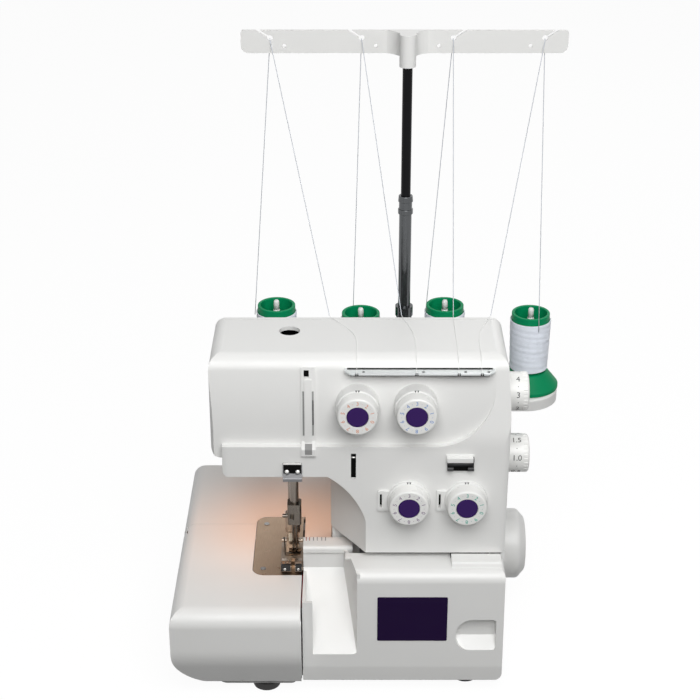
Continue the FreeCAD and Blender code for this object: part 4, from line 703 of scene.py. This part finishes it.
class OVERLOCK_OT_spool_thread(bpy.types.Operator):
    """Thread wound on the four spools"""

    bl_idname = "overlock.spool_thread"
    bl_label = "Spool thread"

    def execute(self, context):
        looks = context.scene.overlock_casing
        sizes = context.scene.overlock_thread
        wound = moulded("wound_thread", looks.thread, 0.7, bump=0.6, tone=0.08, grain=0.16 * MM, sheen=0.3)
        low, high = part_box("spool_windings")
        for i, (x, y) in enumerate(spool_places(), 1):
            name = "spool_thread_%d" % i
            mesh = self.wound_mesh(name, Vector((x, y, 0)), low.z, high.z, sizes)
            made = piece_from(name, mesh, wound, "root")
            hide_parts("spool_packs", "spool_windings")
        return {"FINISHED"}

    def wound_mesh(self, name, centre, foot, head, sizes):
        """One strand in waving layers over a plain sleeve."""
        strand = sizes.strand
        foot_radius, head_radius, bore = 15.55 * MM, 16.75 * MM, 13.2 * MM
        steps = 40
        count = sizes.turns * steps
        waves = ((5.5, 2.4, 1.0), (8.3, -2.0, 0.0))  # turns in a wave, its slant and where the slant starts
        path = []
        for i in range(count + 1):
            share = i / count
            turn = 2 * math.pi * i / steps
            layer = sum(math.sin(turn / turns + slant * math.sin(turn + start))
                        for turns, slant, start in waves)
            radius = foot_radius + (head_radius - foot_radius) * share - strand / 2 + sizes.wave * layer
            height = foot + strand / 2 + (head + sizes.over_rim - foot - strand) * share
            path.append(centre + Vector((radius * math.cos(turn), radius * math.sin(turn), height)))
        points, faces = tube(path, strand / 2, sides=6)
        under = 0.45 * MM
        core = [(bore, foot + under), (foot_radius - strand + under * 0.5, foot + under),
                (head_radius - strand + under * 0.5, head - under), (bore, head - under)]
        more, quads = lathe(core, centre, segments=48)
        shift = len(points)
        faces = faces + [tuple(k + shift for k in quad) for quad in quads]
        return mesh_of(name, points + more, faces)


class OVERLOCK_OT_casing_finish(bpy.types.Operator):
    """White moulded shells, dials and pins"""

    bl_idname = "overlock.casing_finish"
    bl_label = "Casing finish"

    def execute(self, context):
        looks = context.scene.overlock_casing
        white = moulded("casing_white", looks.casing, 0.36, bump=0.08, tone=0.02, grain=looks.grain)
        dial = moulded("dial_white", looks.dial, 0.30, bump=0.05, tone=0.015, grain=looks.grain)
        finish(white, "front_casing", "rear_casing", "bed_cover", "cloth_plate", "looper_cover",
               "take_up_cover", "spool_stand", "thread_guide_bar", "handwheel", "spool_pins")
        finish(dial, "tension_dial_1", "tension_dial_2", "tension_dial_3", "tension_dial_4",
               "stitch_length_dial", "differential_dial")
        return {"FINISHED"}


class OVERLOCK_OT_colour_finish(bpy.types.Operator):
    """Violet discs, green spools, red lever and black plastic and rubber"""

    bl_idname = "overlock.colour_finish"
    bl_label = "Coloured pieces"

    def execute(self, context):
        looks = context.scene.overlock_casing
        disc = moulded("violet_disc", looks.violet, 0.5, bump=0.04, tone=0.06, specular=0.2)
        green = moulded("spool_green", looks.spool, 0.45, bump=0.05, tone=0.1, specular=0.12)
        red = moulded("lever_red", looks.lever, 0.35, bump=0.05, tone=0.1)
        black = moulded("black_plastic", (0.018, 0.018, 0.019), 0.42, bump=0.15, tone=0.25)
        rubber = moulded("black_rubber", (0.028, 0.027, 0.026), 0.78, bump=0.4, tone=0.3)
        deep = moulded("screw_black", (0.004, 0.004, 0.004), 0.6, bump=0.15, tone=0.3, specular=0.1)
        finish(disc, "tension_caps")
        finish(green, "spool_cores")
        finish(red, "knife_release_lever")
        finish(deep, "pressure_screw")
        finish(black, "power_inlet", "power_switch", "handwheel_pulley", "motor_pulley", "presser_lifter")
        finish(rubber, "rubber_feet", "drive_belt")
        finish(self.lens(looks, context.scene.overlock_light.glow), "sewing_lamp")
        return {"FINISHED"}

    def lens(self, looks, strength):
        """Frosted lens that shines only where it stands out below the arm."""
        shown = 2.5 * MM
        made = moulded("lamp_lens", (0.9, 0.85, 0.76), 0.4, bump=0.1)
        tree = made.node_tree
        shader = tree.nodes["Principled BSDF"]
        light = tree.nodes.new("ShaderNodeGroup")
        light.node_tree = group_named("light_below", light_below_group)
        light.inputs["Colour"].default_value = (*looks.lamp, 1)
        light.inputs["Level"].default_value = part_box("sewing_lamp")[0].z + shown
        tree.links.new(light.outputs["Colour"], shader.inputs["Emission Color"])
        shader.inputs["Emission Strength"].default_value = strength
        return made


class OVERLOCK_OT_metal_finish(bpy.types.Operator):
    """Bare, plated and painted metal"""

    bl_idname = "overlock.metal_finish"
    bl_label = "Metal finish"

    def execute(self, context):
        upright = brushed("ground_steel", (0.17, 0.15, 0.13), 0.22, "Z")
        along = brushed("drawn_steel", (0.34, 0.335, 0.33), 0.28, "X")
        # Painted light: the grey of the needle plate is the steel's own, its warm brown is the sewing lamp's
        # warm light painted into the colour.
        plate = brushed("plate_steel", (0.42, 0.30, 0.21), 0.34, "Y")
        guide = brushed("guide_steel", (0.74, 0.77, 0.77), 0.34, "X")
        bent = brushed("bent_steel", (0.19, 0.19, 0.195), 0.32, "X", bump=0.0)
        clip = brushed("clip_steel", (0.07, 0.07, 0.072), 0.32, "X", bump=0.0)
        plated = brushed("pole_plate", (0.12, 0.125, 0.13), 0.16, "Z", bump=0.04)
        rod = brushed("rod_steel", (0.22, 0.19, 0.165), 0.2, "Z", bump=0.04)
        # Painted light: the presser foot's warm brown is the sewing lamp's warm light painted into the grey
        # steel.
        sole = brushed("foot_steel", (0.40, 0.33, 0.27), 0.3, "Y")
        cast = moulded("cast_frame", (0.36, 0.36, 0.36), 0.55, bump=0.5, tone=0.2, grain=0.8 * MM,
                       metallic=0.8)
        paint = moulded("base_paint", (0.16, 0.16, 0.165), 0.5, bump=0.2, tone=0.15)
        pale = moulded("pale_paint", (0.50, 0.50, 0.49), 0.5, bump=0.2, tone=0.1)
        gloss = moulded("pole_black", (0.004, 0.004, 0.005), 0.25, bump=0.02, tone=0.3, specular=0.12)
        finish(upright, "needle_clamp", "needles", "upper_knife", "lower_knife", "cloth_plate_hinge_pin",
               "presser_spring")
        finish(along, "main_shaft", "shaft_bearings", "looper_cover_hinge_rod", "casing_screws",
               "tension_discs", "take_up_lever", "upper_looper", "lower_looper", "feed_dogs")
        finish(plate, "needle_plate")
        finish(guide, "thread_guide_plate")
        finish(bent, "needle_thread_guide")
        finish(clip, "tension_thread_guide")
        finish(plated, "pole_middle", "pole_lower")
        finish(rod, "needle_bar", "presser_bar")
        finish(sole, "presser_foot")
        finish(cast, "main_frame")
        finish(paint, "motor")
        finish(pale, "base_plate")
        finish(gloss, "pole_upper")
        return {"FINISHED"}


class OVERLOCK_OT_tension_numbers(bpy.types.Operator):
    """Rings of figures on the tension dials"""

    bl_idname = "overlock.tension_numbers"
    bl_label = "Tension numbers"

    def execute(self, context):
        looks = context.scene.overlock_numbers
        for i, ink in enumerate((looks.first, looks.second, looks.third, looks.fourth), 1):
            material = printed("number_ink_%d" % i, ink, tone=0.1)
            self.ring(i, material, looks)
        return {"FINISHED"}

    def ring(self, index, material, looks):
        """Figures 0 to 9 with a dot after each; 3 stands at the top."""
        figures, at_top, dot_height = 10, 3, 2.2 * MM
        body = "tension_dial_%d" % index
        centre = Vector(JOINTS[body + "_turn"]["pos_m"])
        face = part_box(body)[0].y
        meshes = []
        for n in range(figures):
            for words, place, height in ((str(n), n, looks.height), ("·", n + 0.5, dot_height)):
                turn = (at_top - place) * 2 * math.pi / figures
                mesh = words_mesh("figure", words, height, INK_DEPTH)
                x = centre.x + looks.ring * math.sin(turn)
                z = centre.z + looks.ring * math.cos(turn)
                mesh.transform(Matrix.Translation((x, face, z)) @ Matrix.Rotation(turn, 4, "Y"))
                meshes.append(mesh)
        name = "tension_numbers_%d" % index
        piece_of(name, meshes, material, body)


class OVERLOCK_OT_side_numbers(bpy.types.Operator):
    """Figures round the two dials on the right side"""

    bl_idname = "overlock.side_numbers"
    bl_label = "Side dial numbers"

    def execute(self, context):
        ink = printed("side_ink", (0.02, 0.02, 0.022))
        lengths = ("4", "·", "3", "·", "2", "·", "1")
        ratios = ("2.0", "·", "1.5", "·", "1.0", "·", "0.5")
        self.band("stitch_length_dial", "stitch_length_turn", lengths, step=24.5, first=-62.0, ink=ink)
        self.band("differential_dial", "differential_turn", ratios, step=28.0, first=-124.0, ink=ink)
        return {"FINISHED"}

    def band(self, node, joint, words, step, first, ink):
        """Figures round a dial; step and first are degrees down from its front."""
        figure_height, inwards = 4.5 * MM, 0.6 * MM
        centre = Vector(JOINTS[joint]["pos_m"])
        low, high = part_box(node)
        radius = (high.z - low.z) / 2
        middle = (centre.x + high.x) / 2 - inwards
        meshes = []
        for k, word in enumerate(words):
            mesh = words_mesh("figure", word, figure_height, INK_DEPTH)
            mesh.transform(Matrix.Translation((0, -radius, 0)))
            mesh.transform(Matrix.Rotation(math.radians(first + step * k), 4, "X"))
            mesh.transform(Matrix.Translation((middle, centre.y, centre.z)))
            meshes.append(mesh)
        name = node + "_numbers"
        piece_of(name, meshes, ink, node)


class OVERLOCK_OT_plaque(bpy.types.Operator):
    """Plain plaque on the looper cover"""

    bl_idname = "overlock.plaque"
    bl_label = "Plaque"

    def execute(self, context):
        looks = context.scene.overlock_casing
        ink = moulded("plaque_violet", looks.plaque, 0.5, bump=0.02, tone=0.06, specular=0.08)
        left, right, low, high = 3.7 * MM, 57.7 * MM, 51 * MM, 91 * MM
        thickness, proud, corner, edge = 0.6 * MM, 0.5 * MM, 1.0 * MM, 0.2 * MM
        mesh = plate_mesh("plaque", rounded_outline(left, right, low, high, corner), thickness, edge)
        y = front_of("looper_cover", (left + right) / 2, (low + high) / 2)
        mesh.transform(Matrix.Translation((0, y - proud, 0)))
        piece_from("plaque", mesh, ink, "looper_cover")
        return {"FINISHED"}


class OVERLOCK_OT_marks(bpy.types.Operator):
    """Pointers above the tension dials and lines on the shelf of the looper cover"""

    bl_idname = "overlock.marks"
    bl_label = "Marks"

    def execute(self, context):
        black = printed("mark_black", (0.02, 0.02, 0.022))
        red = printed("mark_red", (0.50, 0.16, 0.13))
        grey = printed("mark_grey", (0.30, 0.30, 0.31))
        self.pointers(black)
        self.lines("shelf_lines_red", (-51.9, -49.4), red)
        self.lines("shelf_lines_grey", (-46.2, -43.2, -39.7, -36.7), grey)
        return {"FINISHED"}

    def pointers(self, ink):
        """Two small points on the rim of the ring behind each dial."""
        rim, place = 15 * MM, 16 * MM
        near, far, half, thickness, sunk = 0.1 * MM, 1.8 * MM, 0.8 * MM, 0.4 * MM, 0.2 * MM
        lean = Matrix.Rotation(math.radians(-45), 4, "X")
        meshes = []
        for i in range(1, 5):
            centre = Vector(JOINTS["tension_dial_%d_turn" % i]["pos_m"])
            y = front_of("front_casing", centre.x, centre.z + rim)
            for side in (-1, 1):
                left, right = sorted((side * near, side * far))
                outline = [(left, half), ((left + right) / 2, -half), (right, half)]
                mesh = plate_mesh("pointer", outline, thickness, 0)
                mesh.transform(Matrix.Translation((centre.x, y + sunk, centre.z + place)) @ lean)
                meshes.append(mesh)
        piece_of("dial_pointers", meshes, ink, "root")

    def lines(self, name, places, ink):
        """Short lines across the shelf, at places along X in millimetres."""
        front, middle, back, half, sunk, proud = -46.0, -43.0, -40.8, 0.35, 0.1, 0.08
        meshes = []
        for x in places:
            z = top_of("looper_cover", x * MM, middle * MM) / MM
            meshes.append(block_mesh((x - half, front, z - sunk), (x + half, back, z + proud), edge=0.02))
        piece_of(name, meshes, ink, "looper_cover")


class OVERLOCK_OT_dark_insides(bpy.types.Operator):
    """Black sheets of painted shade behind the open slots, window, top hole and thread clips, and in the
    gaps round the top guide
    """

    bl_idname = "overlock.dark_insides"
    bl_label = "Dark slots"

    def execute(self, context):
        # Painted shade: this black stands in for the shade inside the openings and gaps.
        black = moulded("slot_black", (0.004, 0.004, 0.004), 0.75, bump=0.2, tone=0.3, specular=0.05)
        backs = {
            "left slot": ((-18.2, -74.2, 180.0), (-11.2, -73.7, 206.0)),
            "middle slot": ((4.6, -74.2, 156.0), (8.2, -73.7, 172.0)),
            "right slot": ((49.2, -74.2, 156.0), (52.8, -73.7, 172.0)),
            "tension clip": ((59.9, -79.15, 190.2), (71.5, -78.7, 194.4)),
            "needle clip": ((-67.2, -79.35, 188.2), (-54.0, -79.0, 195.4)),
            "gap behind the guide": ((-19.5, -68.0, 269.6), (88.0, -66.3, 270.0)),
            "gap below the guide": ((-17.0, -75.0, 267.4), (85.4, -68.0, 268.6)),
            "top hole": ((-76.0, 2.2, 255.0), (-50.0, 2.75, 274.5)),
        }
        meshes = [block_mesh(low, high, edge=0.05) for low, high in backs.values()]
        meshes.append(self.window())
        piece_of("dark_backs", meshes, black, "root")
        return {"FINISHED"}

    def window(self):
        """A black sheet of painted shade that lies on the curved casing inside the window of the take-up
        cover.
        """
        left, right, low, high, lift = -51.6, -47.6, 263.6, 269.2, 0.15
        rows = front_rows("front_casing", (left + right) / 2, even_steps(low, high, count=4), -lift)
        return strip_mesh("window", left, right, rows, thickness=0.1)


class OVERLOCK_OT_take_up_shades(bpy.types.Operator):
    """Grey sheets of painted shade in the two slots and in the recess at the foot of the take-up cover,
    darker in the middle of the right slot
    """

    bl_idname = "overlock.take_up_shades"
    bl_label = "Take-up recesses"

    def execute(self, context):
        # Painted shade: the grey and the darker grey stand in for the shade in the slots and in the recess.
        dark = moulded("recess_dark", (0.10, 0.10, 0.10), 0.6, bump=0.1, tone=0.2)
        pale = moulded("recess_grey", (0.30, 0.30, 0.295), 0.6, bump=0.1, tone=0.15)
        left_slot, right_slot = (-52.6, -51.3, -53.1), (-45.5, -44.2, -43.6)  # left, right and beside it
        # The middle of the right slot gets the darker painted shade.
        foot, deep_shade_foot, deep_shade_head, head = 217.3, 226.0, 246.0, 252.7
        middle = self.floor(*right_slot, deep_shade_foot, deep_shade_head, deep=0.35)
        piece_from("take_up_slot_dark", middle, dark, "root")
        ends = [self.floor(*left_slot, foot, head, deep=0.30),
                self.floor(*right_slot, foot, deep_shade_foot, deep=0.25),
                self.floor(*right_slot, deep_shade_head, head, deep=0.25)]
        piece_of("take_up_slots", ends, pale, "root")
        recess = self.recess(left=-51.0, right=-45.6, low=204.4, high=211.4)
        piece_from("take_up_recess", recess, pale, "root")
        return {"FINISHED"}

    def floor(self, left, right, beside, low, high, deep):
        """A bar of painted shade that fills a slot to a little behind the cover beside it."""
        rows = front_rows("take_up_cover", beside, even_steps(low, high, count=12), deep)
        return strip_mesh("slot", left, right, rows, thickness=0.4)

    def recess(self, left, right, low, high):
        """A thin skin of painted shade on the front of the cover."""
        lift = 0.12
        rows = front_rows("take_up_cover", (left + right) / 2, even_steps(low, high, count=10), -lift)
        return strip_mesh("recess", left, right, rows, thickness=0.1)


class OVERLOCK_OT_seam_trim(bpy.types.Operator):
    """Pale bead in the seam beside the bed, flange behind the ledge and pin in the left slot"""

    bl_idname = "overlock.seam_trim"
    bl_label = "Seam trim"

    def execute(self, context):
        looks = context.scene.overlock_casing
        white = moulded("trim_white", looks.casing, 0.4, bump=0.08, tone=0.02, grain=looks.grain)
        steel = brushed("pin_steel", (0.70, 0.69, 0.67), 0.25, "X")
        beside, seam, sunk, low, high = -56.6, -55.05, 0.9, 18.0, 78.0
        rows = front_rows("cloth_plate", beside, even_steps(low, high, count=12), sunk)
        bead = tube([Vector((seam, y, z)) * MM for y, z in rows], radius=0.42 * MM, sides=10)
        piece_from("seam_bead", mesh_of("seam_bead", *bead), white, "cloth_plate")
        flange = block_mesh((-21.0, -77.6, 110.4), (60.4, -70.0, 111.9), edge=0.3)
        piece_from("ledge_flange", flange, white, "looper_cover")
        line = [Vector((x, -75.2, 199.6)) * MM for x in (-16.5, -15.0, -14.0, -12.9)]
        pin = mesh_of("slot_pin", *tube(line, radius=0.6 * MM, sides=12))
        piece_from("slot_pin", pin, steel, "root")
        return {"FINISHED"}


class OVERLOCK_OT_small_metal(bpy.types.Operator):
    """Bright bar and lobes of the needle thread guide, and tips of the spool pins"""

    bl_idname = "overlock.small_metal"
    bl_label = "Small fittings"

    def execute(self, context):
        looks = context.scene.overlock_casing
        bright = brushed("lobe_steel", (0.74, 0.73, 0.71), 0.22, "X")
        parts = [block_mesh((-67.6, -79.7, 195.6), (-53.6, -78.9, 197.3), edge=0.25)]
        profile = ((0.01, -1.8), (1.1, -1.5), (1.8, 0), (1.1, 1.5), (0.01, 1.8))
        for x in (-64.6, -56.6):
            parts.append(turned_mesh("lobe", profile, segments=16, place=(x, -79.9, 190.2), axis="Y"))
        piece_of("needle_guide_lobes", parts, bright, "root")
        self.pin_tips(moulded("pin_tip", looks.casing, 0.4, bump=0.05, tone=0.02))
        return {"FINISHED"}

    def pin_tips(self, white):
        """Rounded ends that carry the pins up to the rims of the spools."""
        overlap = 1.5 * MM
        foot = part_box("spool_pins")[1].z - overlap
        profile = ((0.01, 0), (2.3, 0), (2.3, 7.2), (1.7, 8.6), (0.01, 9.2))
        tips = []
        for x, y in spool_places():
            outline = [(r * MM, foot + z * MM) for r, z in profile]
            tips.append(mesh_of("tip", *lathe(outline, Vector((x, y, 0)), segments=24)))
        piece_of("pin_tips", tips, white, "root")


class OVERLOCK_OT_presser_toe(bpy.types.Operator):
    """Black toe of the presser foot with its rivets, bent finger and cream guard beside the needles"""

    bl_idname = "overlock.presser_toe"
    bl_label = "Presser toe"

    def execute(self, context):
        black = moulded("toe_black", (0.010, 0.010, 0.011), 0.35, bump=0.1, tone=0.2)
        steel = brushed("toe_steel", (0.55, 0.54, 0.52), 0.22, "X")
        dark = brushed("finger_steel", (0.10, 0.08, 0.06), 0.3, "X")
        cream = moulded("guard_cream", (0.78, 0.70, 0.57), 0.45, bump=0.05, tone=0.05)
        front, back, low, high = -58.9, -56.0, 87.4, 93.2
        toes = [block_mesh((left, front, low), (right, back, high), edge=0.5)
                for left, right in ((-71.7, -64.1), (-60.4, -55.4))]
        piece_of("presser_toe", toes, black, "presser_bar")
        bend = ((-70.5, -21.5, 96.0), (-69.9, -27.0, 93.6), (-69.4, -33.0, 91.6), (-69.1, -36.0, 91.0),
                (-68.2, -37.0, 90.9), (-66.0, -37.2, 90.9), (-62.6, -37.2, 90.9))
        path = [Vector(place) * MM for place in bend]
        finger = mesh_of("presser_finger", *tube(path, radius=0.6 * MM, sides=10))
        piece_from("presser_finger", finger, dark, "presser_bar")
        guard = block_mesh((-66.6, -27.2, 95.6), (-62.3, -25.3, 102.6), edge=0.4)
        piece_from("presser_guard", guard, cream, "presser_bar")
        profile = ((0.01, 0), (1.3, 0), (1.3, 0.5), (0.8, 0.9), (0.01, 1.0))
        rivets = [turned_mesh("rivet", profile, segments=20, place=(x, -58.8, 89.6), axis="X")
                  for x in (-68.6, -58.0)]
        piece_of("presser_rivets", rivets, steel, "presser_bar")
        return {"FINISHED"}


class OVERLOCK_OT_clip_block(bpy.types.Operator):
    """White moulded block above the thread clip"""

    bl_idname = "overlock.clip_block"
    bl_label = "Clip block"

    def execute(self, context):
        looks = context.scene.overlock_casing
        white = moulded("clip_white", looks.casing, 0.36, bump=0.08, tone=0.02, grain=looks.grain)
        block = [block_mesh((55.3, -81.6, 198.0), (75.1, -77.3, 202.2), edge=0.6),
                 block_mesh((54.6, -78.6, 196.6), (75.8, -77.3, 203.4), edge=0.6)]
        piece_of("clip_block", block, white, "root")
        return {"FINISHED"}


class OVERLOCK_PT_panel(bpy.types.Panel):
    """Steps that dress the overlock machine"""

    bl_idname = "OVERLOCK_PT_panel"
    bl_label = "Overlock machine"
    bl_space_type = "VIEW_3D"
    bl_region_type = "UI"
    bl_category = "Overlock"

    def draw(self, context):
        for group in GROUPS:
            looks = getattr(context.scene, group)
            for name in looks.bl_rna.properties.keys():
                if name not in ("rna_type", "name"):
                    self.layout.prop(looks, name)
        for step in STEPS:
            self.layout.operator(step.bl_idname)


STEPS = (OVERLOCK_OT_stage, OVERLOCK_OT_threads, OVERLOCK_OT_spool_thread, OVERLOCK_OT_casing_finish,
         OVERLOCK_OT_colour_finish, OVERLOCK_OT_metal_finish, OVERLOCK_OT_tension_numbers,
         OVERLOCK_OT_side_numbers, OVERLOCK_OT_plaque, OVERLOCK_OT_marks, OVERLOCK_OT_dark_insides,
         OVERLOCK_OT_take_up_shades, OVERLOCK_OT_seam_trim, OVERLOCK_OT_small_metal,
         OVERLOCK_OT_presser_toe, OVERLOCK_OT_clip_block)
GROUPS = {"overlock_casing": CasingLooks, "overlock_numbers": NumberLooks,
          "overlock_thread": ThreadLooks, "overlock_light": StudioLight}


def register():
    for kind in (*GROUPS.values(), *STEPS, OVERLOCK_PT_panel):
        bpy.utils.register_class(kind)
    for name, kind in GROUPS.items():
        setattr(bpy.types.Scene, name, bpy.props.PointerProperty(type=kind))


def unregister():
    for name in GROUPS:
        delattr(bpy.types.Scene, name)
    for kind in (OVERLOCK_PT_panel, *reversed(STEPS), *GROUPS.values()):
        bpy.utils.unregister_class(kind)


def main():
    register()
    for step in STEPS:
        family, action = step.bl_idname.split(".")
        getattr(getattr(bpy.ops, family), action)()


if __name__ == "__main__":
    main()
